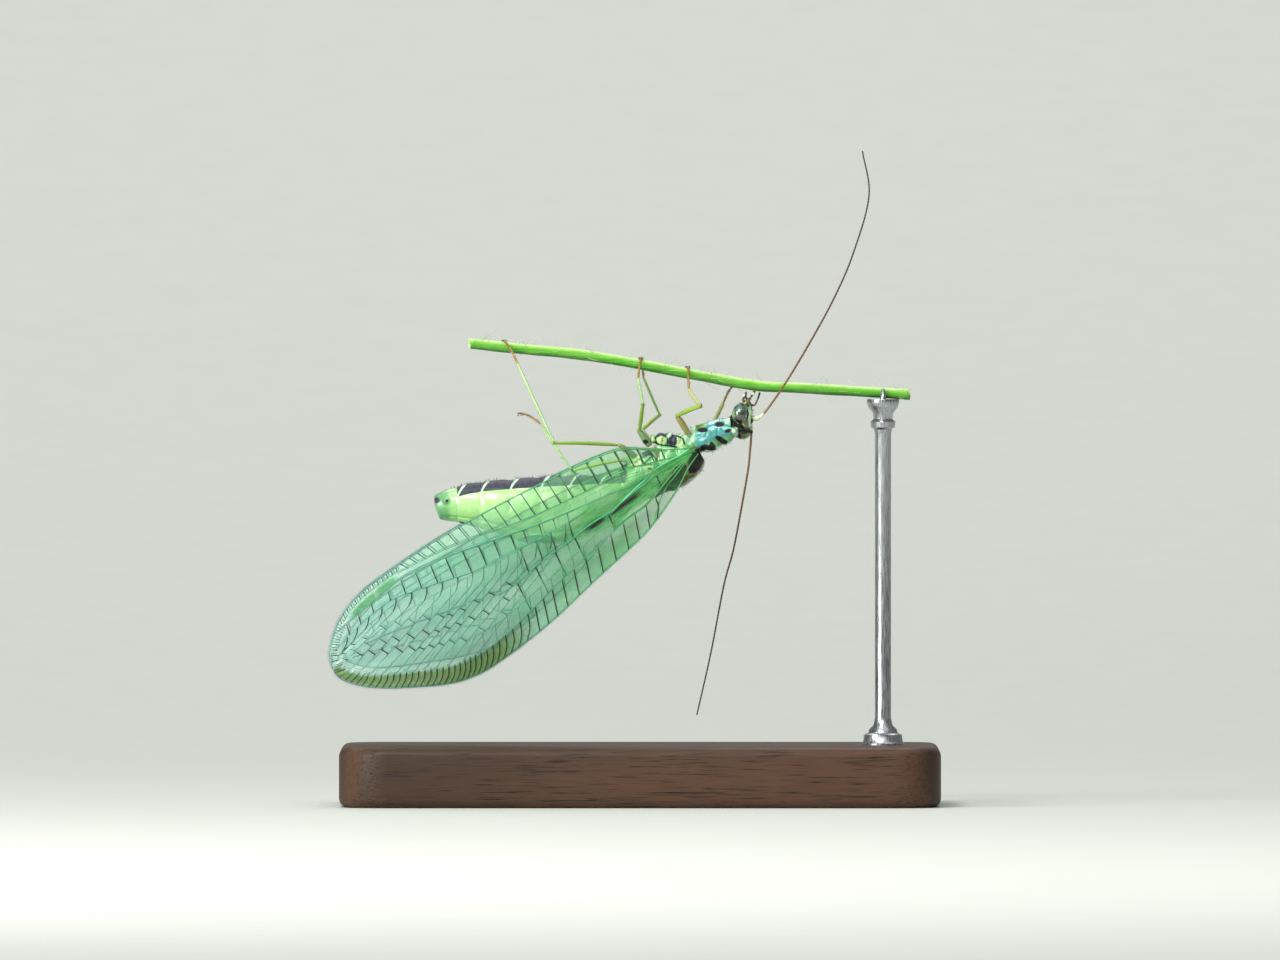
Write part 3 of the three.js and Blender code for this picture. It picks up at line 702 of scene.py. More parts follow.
def tendril_finish():
    material, tree, shader = blank("tendril_green")
    where = coords(tree)
    around = reading(tree, "round")
    lines = noise(tree, coords(tree, (0.6, 16, 16)), 1.2)
    # Painted light and shade round the stem: dark green underneath, lighter up the sides and a painted
    # highlight along the top.
    body = ramp(tree, around, [
        (0.0, "1f5a0c"), (0.35, "3c8f12"), (0.7, "66b424"), (0.88, "b2e070"), (1.0, "dcf2b4"),
    ])
    streaked = mix(tree, span_map(tree, lines, 0.45, 0.7, 0, 0.4), body, tone("9ed36a"))
    spotted = mottled(tree, streaked, where, 3.0, 0.28)
    cut = mix(tree, painted_mark(tree, "cut", where), spotted, tone("d6e2a4"))
    rough = span_map(tree, lines, 0.3, 0.7, 0.42, 0.6)
    return finish_surface(material, tree, shader, cut, rough, lines, 0.4, 0.02, subsurface_weight=0.15,
                          subsurface_radius=(0.4, 1.0, 0.2), subsurface_scale=0.0002)


def bristle_finish(name, low, high, rough):
    material, tree, shader = blank(name)
    colour = ramp(tree, noise(tree, coords(tree), 2.0), [(0.3, low), (0.7, high)])
    return finish_surface(material, tree, shader, colour, rough)


# Marks on the skin in the order they are painted: colour, scale and wobble of the edge
SKIN_PAINTS = [
    # The pale cyan marks after the teal are a painted sheen on the collar's ridge.
    ("teal", "4fa8a4", 4.0, 0.6), ("painted_sheen", "a6e6e4", 5.0, 0.6), ("olive", "5e6e34", 5.0, 0.4),
    ("yellow", "b8d894", 9.0, 0.3), ("mint", "c4ecca", 8.0, 0.25), ("plate", "343848", 8.0, 0.35),
    ("black", "12120f", 9.0, 0.35),
]


def skin_finish():
    """Trunk and head: ground colours by region, with painted marks over them."""
    material, tree, shader = blank("lacewing_skin")
    where = coords(tree)
    along = add(tree, "ShaderNodeSeparateXYZ", {0: where}, out=0)
    ground = ramp(tree, span_map(tree, along, -7.0, 4.0), [
        (0.0, "5f9c66"), (0.05, "6caa6c"), (0.066, "9cd884"), (0.1, "b0e48e"), (0.35, "c0ee9a"),
        (0.56, "9cd678"), (0.64, "6cbc6c"), (0.8, "7cc87c"), (0.9, "62b46e"), (1.0, "6a7c4c"),
    ])
    colour = mottled(tree, ground, where, 2.6, 0.3)
    for mark, code, scale, wobble in SKIN_PAINTS:
        paint = mottled(tree, tone(code), where, 7.0, 0.35)
        colour = mix(tree, painted_mark(tree, mark, where, scale, wobble), colour, paint)
    dark = maths(tree, "MAXIMUM", reading(tree, "black"), reading(tree, "plate"))
    plates = add(tree, "ShaderNodeTexVoronoi", {"Vector": where, "Scale": 16.0}, feature="DISTANCE_TO_EDGE")
    wrinkles = noise(tree, coords(tree, (2.2, 1, 1)), 9.0, 4.0)
    height = maths(tree, "ADD", maths(tree, "MULTIPLY", plates, 0.5), wrinkles)
    rough = maths(
        tree, "ADD", span_map(tree, wrinkles, 0.3, 0.7, 0.24, 0.38), maths(tree, "MULTIPLY", dark, 0.2)
    )
    gloss = maths(tree, "MULTIPLY", maths(tree, "SUBTRACT", 1.0, dark), 0.9)
    return finish_surface(material, tree, shader, colour, rough, height, 0.3, 0.015, coat_weight=gloss,
                          coat_roughness=0.2, subsurface_weight=0.1, subsurface_radius=(0.5, 1.0, 0.3),
                          subsurface_scale=0.0002)


def eye_finish():
    material, tree, shader = blank("compound_eye")
    where = coords(tree)
    facets = add(tree, "ShaderNodeTexVoronoi", {"Vector": where, "Scale": 30.0}, feature="F1")
    edges = add(tree, "ShaderNodeTexVoronoi", {"Vector": where, "Scale": 30.0}, feature="DISTANCE_TO_EDGE")
    # Painted reflection: dark olive low on the eye, a blue-green sheen higher up and darker again at the
    # top, its edge wavering with noise.
    sheen_drift = noise(tree, where, 2.4, 2.0)
    height = add(tree, "ShaderNodeSeparateXYZ", {0: where}, out=2)
    swing = maths(tree, "MULTIPLY", maths(tree, "SUBTRACT", sheen_drift, 0.5), 0.4)
    level = maths(tree, "ADD", span_map(tree, height, 12.7, 13.35), swing)
    sheen = ramp(tree, level, [
        (0.1, "16150a"), (0.4, "343410"), (0.58, "2f5234"), (0.75, "5c9484"), (0.95, "1c2a2a"),
    ])
    # Painted highlight: pale green where the eye's pale values lie, at its back.
    sheen = mix(tree, reading(tree, "pale"), sheen, tone("a4c890"))
    lattice = mix(tree, span_map(tree, edges, 0.0, 0.012, 0.55, 0.0), sheen, tone("0c1210"))
    domed = maths(tree, "MULTIPLY", facets, -1.0)
    return finish_surface(
        material, tree, shader, lattice, 0.2, domed, 0.35, 0.02, metallic=0.4, coat_weight=1.0,
        coat_roughness=0.08, coat_ior=2.2
    )


def limb_finish():
    material, tree, shader = blank("leg_shell")
    where = coords(tree)
    share = reading(tree, "along")
    colour = ramp(tree, share, [
        (0.0, "8aa87c"), (0.1, "94b078"), (0.18, "8cac44"), (0.42, "a2c24c"), (0.47, "66702c"),
        (0.52, "94c280"), (0.7, "b0cc88"), (0.755, "a4843c"), (0.9, "94682c"), (0.96, "2a1a0c"),
    ])
    colour = mottled(tree, colour, where, 6.0, 0.3)
    colour = mix(tree, reading(tree, "tan"), colour, tone("bca864"))
    colour = mix(tree, painted_mark(tree, "black", where), colour, tone("15160f"))
    fine = noise(tree, where, 22.0)
    rough = span_map(tree, fine, 0.3, 0.7, 0.28, 0.48)
    return finish_surface(material, tree, shader, colour, rough, fine, 0.3, 0.01, coat_weight=0.2,
                          coat_roughness=0.2, subsurface_weight=0.1,
                          subsurface_radius=(0.6, 1.0, 0.2), subsurface_scale=0.0001)


def mouth_finish():
    material, tree, shader = blank("mouth_shell")
    where = coords(tree)
    colour = ramp(tree, reading(tree, "along"), [
        (0.1, "d4ecb4"), (0.3, "a8a878"), (0.6, "6e5c3c"), (0.85, "33301c"), (1.0, "101208"),
    ])
    colour = mottled(tree, colour, where, 10.0, 0.35)
    fine = noise(tree, where, 24.0)
    rough = span_map(tree, fine, 0.3, 0.7, 0.22, 0.4)
    return finish_surface(material, tree, shader, colour, rough, fine, 0.3, 0.008, coat_weight=0.3)


def feeler_finish():
    material, tree, shader = blank("feeler_shell")
    where = coords(tree)
    share = reading(tree, "along")
    colour = ramp(tree, share, [
        (0.0, "dce6c0"), (0.018, "e0eac4"), (0.022, "14110c"), (0.036, "16130d"), (0.045, "a89060"),
        (0.09, "a08454"), (0.16, "86643e"), (0.35, "684628"), (0.7, "3e2b1c"), (1.0, "221a14"),
    ])
    colour = mottled(tree, colour, where, 8.0, 0.35)
    fine = noise(tree, where, 30.0, 2.0)
    rough = span_map(tree, fine, 0.3, 0.7, 0.38, 0.6)
    return finish_surface(material, tree, shader, colour, rough, fine, 0.3, 0.008)


def wing_reach(tree, where):
    """How far out along the wing a place is, from 0 at the root to 1 at the tip."""
    out = add(tree, "ShaderNodeVectorMath", {0: where, 1: tuple(SPAN)}, out=1, operation="DOT_PRODUCT")
    start = SPAN.dot(WING_ORIGIN)
    return span_map(tree, out, start, start + WING_LENGTH)


def membrane_finish(name, tints, haze):
    """Clear film, greener and denser where the main veins run together at the root. Paler and bluer out to
    the tip, partly its own tint and partly painted sheen, and clouded with painted bluish-white sheen.
    """
    material, tree, shader = blank(name)
    where = coords(tree)
    out = wing_reach(tree, where)
    tint = ramp(tree, out, tints)
    # Painted sheen: bluish-white clouds mixed into the film's tint.
    sheen_drift = noise(tree, coords(tree, (1, 0.3, 1)), 1.3, 3.0)
    tint = mix(tree, span_map(tree, sheen_drift, 0.4, 0.7, 0, 0.5), tint, tone("c6e6dc"))
    strap = reading(tree, "strap")
    belt = reading(tree, "belt")
    gap = reading(tree, "dark_cell")
    streaks = span_map(tree, noise(tree, coords(tree, (1.2, 1, 5)), 1.6, 2.0), 0.3, 0.7, 0.0, 1.0)
    tint = mix(tree, strap, tint, mix(tree, streaks, tone("3c9c48"), tone("64c470")))
    tint = mix(tree, belt, tint, tone("7cac64"))
    tint = mix(tree, gap, tint, tone("12242c"))
    cells = noise(tree, where, 3.2, 2.0)
    alpha = maths(tree, "MULTIPLY", span_map(tree, out, 0.02, 0.25, 0.15, 1.0), haze)
    for part, share in ((reading(tree, "skirt"), 0.12), (strap, 0.45), (belt, 0.2), (gap, 0.7)):
        alpha = maths(tree, "ADD", alpha, maths(tree, "MULTIPLY", part, share))
    rough = span_map(tree, cells, 0.3, 0.7, 0.1, 0.24)
    return finish_surface(material, tree, shader, tint, rough, cells, 0.6, 0.12, alpha=alpha,
                          specular_ior_level=0.6, thin_film_thickness=420.0, thin_film_ior=1.45)


def main_vein_finish(name, shades):
    material, tree, shader = blank(name)
    where = coords(tree)
    colour = ramp(tree, wing_reach(tree, where), shades)
    colour = mottled(tree, colour, where, 2.0, 0.3)
    fine = noise(tree, where, 25.0)
    rough = span_map(tree, fine, 0.3, 0.7, 0.25, 0.45)
    return finish_surface(material, tree, shader, colour, rough, fine, 0.2, 0.006)


def cross_vein_finish():
    material, tree, shader = blank("vein_black")
    where = coords(tree)
    colour = ramp(tree, noise(tree, where, 5.0), [(0.3, "0c1612"), (0.7, "20302a")])
    fine = noise(tree, where, 25.0)
    return finish_surface(material, tree, shader, colour, span_map(tree, fine, 0.3, 0.7, 0.3, 0.5))


def floor_finish():
    material, tree, shader = blank("studio_paper")
    grain = noise(tree, coords(tree), 0.6, 4.0)
    colour = ramp(tree, grain, [(0.3, "ced1cb"), (0.7, "d1d3ce")])
    return finish_surface(material, tree, shader, colour, 0.8)


# Stand and tendril

def stand_base():
    length, depth, height = BASE_SIZE
    clear()
    bpy.ops.mesh.primitive_cube_add(size=1, location=(0, 0, height / 2), scale=(length, depth, height))
    piece = bpy.context.object
    piece.name = "base_board"
    bpy.ops.object.transform_apply(location=True, rotation=True, scale=True)
    bpy.ops.object.mode_set(mode="EDIT")
    bpy.ops.mesh.select_mode(type="EDGE")
    choose_edges(piece, lambda a, b: abs(a.z - b.z) > height / 2)
    bpy.ops.mesh.bevel(offset=BASE_CORNER, segments=8, affect="EDGES")
    choose_edges(piece, lambda a, b: min(a.z, b.z) > height - 0.01 or max(a.z, b.z) < 0.01)
    bpy.ops.mesh.bevel(offset=BASE_EDGE, segments=4, affect="EDGES")
    bpy.ops.object.mode_set(mode="OBJECT")
    return piece


def choose_edges(piece, wanted):
    """Selects the edges whose two ends satisfy the test."""
    bpy.ops.mesh.select_all(action="DESELECT")
    bpy.ops.object.mode_set(mode="OBJECT")
    verts = piece.data.vertices
    for edge in piece.data.edges:
        a, b = (verts[v].co for v in edge.vertices)
        edge.select = wanted(a, b)
    bpy.ops.object.mode_set(mode="EDIT")


# The cradle's prongs: distance out, rise from the rod's top and radius
PRONG = [(0.3, -0.3, 0.11), (0.36, -0.02, 0.1), (0.29, 0.18, 0.08), (0.24, 0.3, 0.05)]


def stand_rod():
    """Turned foot, slim post and collar, with a two-pronged cradle for the tendril."""
    top = tendril_height(ROD_X) - TENDRIL_RADIUS
    foot = BASE_SIZE[2]
    profile = [
        (foot - 0.1, 0.72), (foot + 0.05, 0.72), (foot + 0.12, 0.66), (foot + 0.34, 0.64),
        (foot + 0.4, 0.5), (foot + 0.52, 0.46), (foot + 0.66, 0.32), (foot + 0.9, 0.27),
        (top - 1.2, 0.27), (top - 1.05, 0.3), (top - 0.98, 0.4), (top - 0.8, 0.42), (top - 0.7, 0.32),
        (top - 0.5, 0.34), (top - 0.3, 0.5), (top - 0.12, 0.55), (top - 0.04, 0.53),
    ]
    post = bar("post", [(ROD_X, 0, z, r) for z, r in profile], sides=40)
    prongs = []
    for side in (LEFT, RIGHT):
        line = [(ROD_X, side * out, top + rise, thick) for out, rise, thick in PRONG]
        prongs.append(bar("prong", flowing(line, 5), sides=12, side=Vector((1, 0, 0))))
    return join("cradle_rod", [post, *prongs])


def tendril_height(x):
    return at(TENDRIL_LINE, x)[1]


def tendril():
    """Cut stem with blunt ridges, its ends trimmed square."""
    line = evenly(TENDRIL_LINE, 110)
    swell = 1 + 0.03 * np.sin(line[:, 0] * 2.3) + 0.02 * np.sin(line[:, 0] * 5.1)
    stations = [(x, 0, z, TENDRIL_RADIUS * s) for (x, z), s in zip(line, swell)]
    first, last = ((x + way * CUT_STEP, y, z, TENDRIL_RADIUS * 0.8) for way, (x, y, z, _) in
                   ((-1, stations[0]), (1, stations[-1])))
    piece = bar("tendril", [first, *stations, last], sides=30)
    places = places_of(piece)
    centres = np.interp(places[:, 0], line[:, 0], line[:, 1])
    rise = places[:, 2] - centres
    around = np.arctan2(rise, places[:, 1])
    ridges = 1 + 0.045 * np.cos(5 * around) + 0.02 * np.cos(11 * around + places[:, 0] * 0.4)
    places[:, 1] *= ridges
    places[:, 2] = centres + rise * ridges
    move_to(piece, places)
    # How far up the stem's round each vertex sits, from which the finish paints shade below and a highlight
    # on top.
    give(piece, "round", np.clip(0.5 + rise / TENDRIL_RADIUS * 0.5, 0, 1))
    ends = np.minimum(places[:, 0] - line[0, 0], line[-1, 0] - places[:, 0])
    give(piece, "cut", np.clip(1 - (ends + 0.01) / 0.02, 0, 1))
    return piece


def tendril_hairs(chance):
    """Sparse hairs all round the tendril, most of them on its upper side."""
    seats = []
    first, last = TENDRIL_LINE[0][0], TENDRIL_LINE[-1][0]
    for _ in range(120):
        x = chance.uniform(first + 0.05, last - 0.05)
        turn = chance.gauss(math.pi / 2, 1.2)
        out = Vector((chance.choice((0.5, 0.9, 1.4, -0.6)), math.cos(turn), math.sin(turn)))
        outward = Vector((0, out.y, out.z)).normalized()
        place = Vector((x, 0, tendril_height(x))) + outward * TENDRIL_RADIUS * 0.92
        seats.append((place, out, chance.uniform(0.25, 0.6), chance.uniform(0.012, 0.018)))
    return strew("tendril_hairs", hair(), seats)


# Head and trunk

def inset(row):
    x, z, high, wide = row
    return (x, 0, z, wide - SKIN_INSET, high - SKIN_INSET)


# How one ring of the abdomen swells, from its front to its hind margin
RING_SHAPE = [
    (0.0, 0.945), (0.07, 0.965), (0.2, 0.992), (0.5, 1.012), (0.82, 1.006), (0.93, 0.998), (0.975, 0.98),
]


def abdomen_rows():
    """Overlapping plates: each starts low under the one ahead and rises to its hind margin."""
    rows = [inset(at(ABDOMEN, x)) for x in (-0.1, -0.3)]
    borders = [*SEGMENT_BORDERS, -6.62]
    for ahead, behind in zip(borders, borders[1:]):
        length = ahead - behind
        for share, size in RING_SHAPE:
            x, y, z, wide, high = inset(at(ABDOMEN, ahead - share * length))
            rows.append((x, y, z, wide * size, high * size))
    rows += [inset(at(ABDOMEN, x)) for x in (-6.7, -6.78)]
    rows.append((-6.83, 0, 9.91, 0.1, 0.12))
    return rows


# The knob on each side of the tail
CERCUS = [(-6.3, 0.3, 10.12, 0.1), (-6.45, 0.46, 10.14, 0.12), (-6.55, 0.5, 10.14, 0.06)]
VOXEL = 0.032


def body_skin():
    """Head, thorax and abdomen as one closed skin."""
    parts = [
        bar("prothorax_run", flowing([inset(row) for row in PROTHORAX], 3), sides=36),
        bar("pterothorax_run", flowing([inset(row) for row in PTEROTHORAX], 3), sides=40),
        bar("abdomen_run", abdomen_rows(), sides=48),
    ]
    for side in (LEFT, RIGHT):
        parts.append(bar("cercus", [(x, side * out, z, thick) for x, out, z, thick in CERCUS], sides=12))
    for name, (x, y, z, *half) in MIDDLE_LUMPS.items():
        parts.append(ball(name, (x, y, z), half))
    for name, (x, out, z, *half) in SIDE_LUMPS.items():
        for side in (LEFT, RIGHT):
            parts.append(ball(name, (x, side * out, z), half))
    skin = join("body_skin", parts)
    modify(skin, "REMESH", mode="VOXEL", voxel_size=VOXEL)
    modify(skin, "SMOOTH", factor=0.5, iterations=3)
    carve(skin)
    paint(skin)
    return skin


# Seams pressed into the skin: depth, half width, then the line in side view as X, Z
SEAMS = [
    (0.05, 0.035, [(1.22, 12.4), (1.18, 11.9), (1.3, 11.4), (1.34, 11.0)]),
    (0.04, 0.03, [(0.78, 12.2), (0.72, 11.7), (0.8, 11.2)]),
    (0.05, 0.035, [(0.38, 11.95), (0.3, 11.5), (0.34, 11.0), (0.44, 10.6)]),
    (0.04, 0.03, [(-0.1, 11.7), (-0.1, 11.2), (0.02, 10.8)]),
    (0.04, 0.035, [(1.5, 12.05), (1.0, 11.96), (0.5, 11.78), (0.0, 11.5), (-0.3, 11.3)]),
    (0.05, 0.035, [(2.62, 12.86), (2.58, 12.4), (2.66, 12.02)]),
    (0.04, 0.03, [(2.24, 12.68), (2.2, 12.3), (2.3, 11.9)]),
    (0.035, 0.025, [(3.52, 13.24), (3.6, 13.2), (3.74, 13.2)]),
    (0.035, 0.025, [(3.5, 13.38), (3.6, 13.37), (3.72, 13.36)]),
    (0.04, 0.03, [(3.1, 12.62), (3.3, 12.56), (3.5, 12.56), (3.66, 12.62)]),
]


def gap_to(places, line):
    """Distance in side view from each place to a line of straight runs."""
    x, z = places[:, 0], places[:, 2]
    best = np.full(len(places), 9.0)
    for (ax, az), (bx, bz) in zip(line, line[1:]):
        along = (x - ax) * (bx - ax) + (z - az) * (bz - az)
        share = np.clip(along / ((bx - ax) ** 2 + (bz - az) ** 2), 0, 1)
        best = np.minimum(best, np.hypot(x - ax - share * (bx - ax), z - az - share * (bz - az)))
    return best


def carve(skin):
    """Presses the seams and the abdomen's side grooves into the skin."""
    places = places_of(skin)
    normals = normals_of(skin)
    sunk = np.zeros(len(places))
    for depth, half, line in SEAMS:
        sunk += depth * np.exp(-((gap_to(places, flowing(line, 3)) / half) ** 2))
    for sign, height in ((1, 0.62), (-1, 0.66)):
        share = abdomen_share(places)
        groove = np.exp(-(((share * sign - height) / 0.05) ** 2))
        sunk += 0.03 * groove * (places[:, 0] < -0.5) * (places[:, 0] > -6.4)
    sides = np.clip(np.abs(normals[:, 1]) * 1.6, 0, 1)
    move_to(skin, places - normals * (sunk * sides)[:, None])


def abdomen_share(places):
    """Height in the abdomen, from -1 at its lower edge to 1 at its upper edge."""
    line = flowing(ABDOMEN, 8)[::-1]
    middle = np.interp(places[:, 0], line[:, 0], line[:, 1])
    half = np.interp(places[:, 0], line[:, 0], line[:, 2])
    return (places[:, 2] - middle) / half


# Marks seen from the side, in X and Z. Each gives one half at its edge, rising inwards.

# Softness of a mark's edge
EDGE = 0.03


def rising(depth, edge=EDGE):
    """From nothing outside an edge to one inside it."""
    return np.clip(0.5 + depth / (2 * edge), 0, 1)


def spot(x, z, half_x, half_z, turn=0):
    """An oval mark, turned by some degrees."""
    c, s = math.cos(math.radians(turn)), math.sin(math.radians(turn))

    def value(places):
        dx, dz = places[:, 0] - x, places[:, 2] - z
        out = np.hypot((dx * c + dz * s) / half_x, (dz * c - dx * s) / half_z)
        return rising((1 - out) * min(half_x, half_z))

    return value


def stroke(half, *line):
    """A mark along a line, with its half width."""
    return lambda places: rising(half - gap_to(places, line))


def patch(*outline, edge=EDGE):
    """A mark inside an outline."""
    corners = [*outline, outline[0]]

    def value(places):
        x, z = places[:, 0], places[:, 2]
        inside = np.zeros(len(places), bool)
        for (ax, az), (bx, bz) in zip(corners, corners[1:]):
            if az != bz:
                inside ^= ((az > z) != (bz > z)) & (x < ax + (z - az) * (bx - ax) / (bz - az))
        return rising(np.where(inside, 1, -1) * gap_to(places, corners), edge)

    return value


HEAD_BACK = patch(
    (3.02, 13.12), (3.0, 12.9), (3.02, 12.62), (3.25, 12.58), (3.28, 12.4), (3.2, 12.13), (3.28, 12.05),
    (3.37, 12.23), (3.38, 12.4), (3.5, 12.57), (3.4, 12.7), (3.3, 12.9), (3.14, 13.02),
)
HEAD_BAND = patch(
    (3.33, 12.6), (3.53, 12.54), (3.67, 12.6), (3.8, 12.57), (3.78, 12.38), (3.57, 12.4), (3.43, 12.34),
    (3.36, 12.37)
)
COLLAR = patch(
    (1.9, 12.43), (2.13, 12.6), (2.4, 12.76), (2.73, 12.92), (3.0, 12.8), (3.05, 12.4), (2.85, 12.3),
    (2.55, 12.22), (2.35, 12.07), (2.13, 11.95), (1.9, 11.9), (1.79, 12.15), edge=0.14,
)
NECK = patch(
    (1.44, 12.34), (1.63, 12.6), (1.72, 12.76), (1.86, 12.68), (1.84, 12.4), (1.78, 12.1), (1.52, 12.1),
    edge=0.1
)
SIDE_BAR = patch(
    (2.0, 11.82), (2.03, 11.97), (2.17, 12.03), (2.3, 11.99), (2.35, 12.13), (2.43, 12.09), (2.52, 11.97),
    (2.54, 11.85), (2.4, 11.8), (2.2, 11.84)
)
SIDE_BLOT = patch(
    (2.47, 12.27), (2.6, 12.32), (2.77, 12.24), (2.92, 12.13), (2.9, 12.02), (2.73, 12.04), (2.57, 12.16)
)
DOME_CAP = patch(
    (0.5, 12.2), (0.56, 12.4), (0.75, 12.5), (1.06, 12.5), (1.18, 12.42), (0.95, 12.4), (0.88, 12.33),
    (0.88, 12.2), (0.84, 12.26), (0.72, 12.32), (0.6, 12.27)
)
SHIELD_ONE = patch(
    (1.6, 11.45), (1.7, 11.67), (1.8, 11.85), (2.0, 11.89), (2.14, 11.75), (2.16, 11.5), (2.03, 11.25),
    (1.85, 11.07), (1.62, 11.05)
)
SHIELD_TWO = patch(
    (1.17, 11.27), (1.43, 11.42), (1.57, 11.3), (1.5, 11.0), (1.3, 10.6), (1.05, 10.36), (0.8, 10.2),
    (0.5, 10.2), (0.68, 10.57), (0.93, 10.85), (1.1, 11.07)
)
BACK_GROUND = patch(
    (1.5, 11.55), (1.75, 11.95), (2.3, 11.95), (2.4, 11.4), (1.9, 10.7), (1.3, 10.2), (0.7, 9.9),
    (0.3, 10.05), (0.7, 10.7), (1.2, 11.35), edge=0.08
)

MARKS = {
    "teal": [COLLAR],
    # Painted sheen: pale cyan highlights along the collar's ridge.
    "painted_sheen": [
        stroke(0.025, (1.82, 12.37), (2.13, 12.43), (2.4, 12.6), (2.73, 12.6), (3.0, 12.57)),
        spot(2.43, 12.76, 0.2, 0.06, 22), spot(2.84, 12.56, 0.12, 0.05, 10),
        spot(2.1, 12.2, 0.12, 0.05, 20),
    ],
    "olive": [
        BACK_GROUND,
        patch((3.37, 12.83), (3.57, 12.9), (3.68, 12.7), (3.65, 12.57), (3.5, 12.54), (3.4, 12.7)),
        patch((3.33, 12.37), (3.53, 12.41), (3.66, 12.36), (3.64, 12.1), (3.43, 12.05), (3.3, 12.08)),
        spot(3.64, 13.42, 0.16, 0.1), patch((0.4, 11.84), (0.63, 11.81), (0.7, 11.5), (0.6, 11.46)),
    ],
    "yellow": [
        spot(0.71, 12.16, 0.165, 0.135), spot(0.44, 12.22, 0.08, 0.12), spot(1.29, 12.1, 0.15, 0.16),
        spot(3.71, 13.06, 0.07, 0.1),
        patch((0.18, 11.97), (0.33, 12.08), (0.53, 12.09), (0.57, 11.97), (0.5, 11.89), (0.2, 11.89)),
        patch((-0.2, 11.75), (-0.05, 11.75), (0.05, 11.35), (-0.1, 11.15), (-0.3, 11.4)),
        patch((0.08, 11.28), (0.3, 11.32), (0.55, 11.2), (0.5, 10.95), (0.2, 10.95)),
        stroke(0.02, (3.38, 12.82), (3.48, 12.6)),
    ],
    "mint": [
        NECK,
        patch((2.8, 12.82), (2.97, 13.0), (3.06, 12.9), (3.04, 12.63), (2.87, 12.7)),
        patch((3.05, 12.57), (3.23, 12.57), (3.28, 12.4), (3.2, 12.28), (3.07, 12.38)),
        stroke(0.07, (2.2, 11.78), (2.65, 11.9), (3.05, 12.06)), spot(1.62, 12.06, 0.07, 0.06, 30),
        patch((0.93, 12.4), (1.12, 12.36), (1.02, 12.27), (0.95, 12.18)),
        stroke(0.036, (0.58, 11.93), (0.8, 11.87), (1.13, 11.87)),
        stroke(0.02, (0.97, 12.43), (1.33, 12.34), (1.53, 12.45), (1.7, 12.66)),
        patch((0.05, 11.6), (0.18, 11.53), (0.1, 11.37)),
        stroke(0.025, (0.7, 11.77), (0.7, 11.57)),
        stroke(0.04, (3.66, 13.25), (3.64, 12.93), (3.66, 12.62)),
        stroke(0.014, (3.5, 13.33), (3.57, 13.4), (3.64, 13.36)), spot(0.28, 11.66, 0.05, 0.04),
    ],
    "plate": [
        DOME_CAP, spot(1.08, 12.14, 0.16, 0.18, -20),
        patch((0.03, 11.82), (0.3, 11.82), (0.37, 11.67), (0.2, 11.6), (0.07, 11.7)),
        patch((3.2, 13.2), (3.33, 13.38), (3.5, 13.46), (3.52, 13.34), (3.4, 13.3), (3.27, 13.22)),
        spot(3.6, 13.32, 0.06, 0.05),
        spot(-1.47, 9.36, 0.5, 0.2, 28), spot(-0.55, 9.88, 0.42, 0.2, 38), spot(0.03, 10.33, 0.3, 0.1, 45),
        spot(-3.43, 8.84, 0.65, 0.16, 3),
        spot(-6.77, 10.16, 0.1, 0.1), stroke(0.03, (-6.9, 10.0), (-6.84, 9.7)),
        stroke(0.04, (-6.65, 9.5), (-6.2, 9.38)),
    ],
    "black": [
        HEAD_BACK, HEAD_BAND, stroke(0.03, (3.58, 13.14), (3.6, 13.03), (3.57, 12.88)),
        stroke(0.035, (3.74, 13.36), (3.75, 13.18)),
        patch((3.69, 12.88), (3.82, 12.88), (3.82, 12.73), (3.77, 12.62), (3.69, 12.7)),
        spot(3.7, 12.27, 0.06, 0.1),
        spot(2.65, 12.69, 0.17, 0.085), spot(2.09, 12.5, 0.18, 0.085), spot(2.93, 12.47, 0.12, 0.06, 15),
        SIDE_BLOT, SIDE_BAR,
        stroke(0.03, (0.47, 12.09), (0.67, 12.01), (0.93, 11.98), (1.22, 11.94)),
        stroke(0.026, (1.07, 12.33), (1.26, 12.3), (1.42, 12.22), (1.49, 12.03)),
        stroke(0.022, (0.9, 12.26), (0.92, 12.03)),
        stroke(0.02, (0.5, 12.26), (0.55, 12.1)),
        stroke(0.012, (0.57, 11.83), (0.83, 11.8), (1.17, 11.8)), stroke(0.03, (0.32, 11.8), (0.57, 11.47)),
        stroke(0.02, (-0.03, 11.77), (0.1, 11.33), (0.37, 11.6)), spot(0.35, 11.2, 0.1, 0.045, -15),
        SHIELD_ONE, SHIELD_TWO,
        stroke(0.06, (-6.0, 9.4), (-5.3, 9.2)), spot(-6.43, 10.14, 0.05, 0.05),
    ],
}


def paint(skin):
    """Stores every mark as a value on the skin's vertices."""
    places = places_of(skin)
    masks = {name: np.max([mark(places) for mark in marks], axis=0) for name, marks in MARKS.items()}
    plates, bands, lines = abdomen_marks(places)
    masks["olive"] = np.maximum(masks["olive"], lines)
    masks["plate"] = np.maximum(masks["plate"], plates) * (1 - bands)
    masks["mint"] = np.maximum(masks["mint"], bands)
    for name, mask in masks.items():
        give(skin, name, mask)


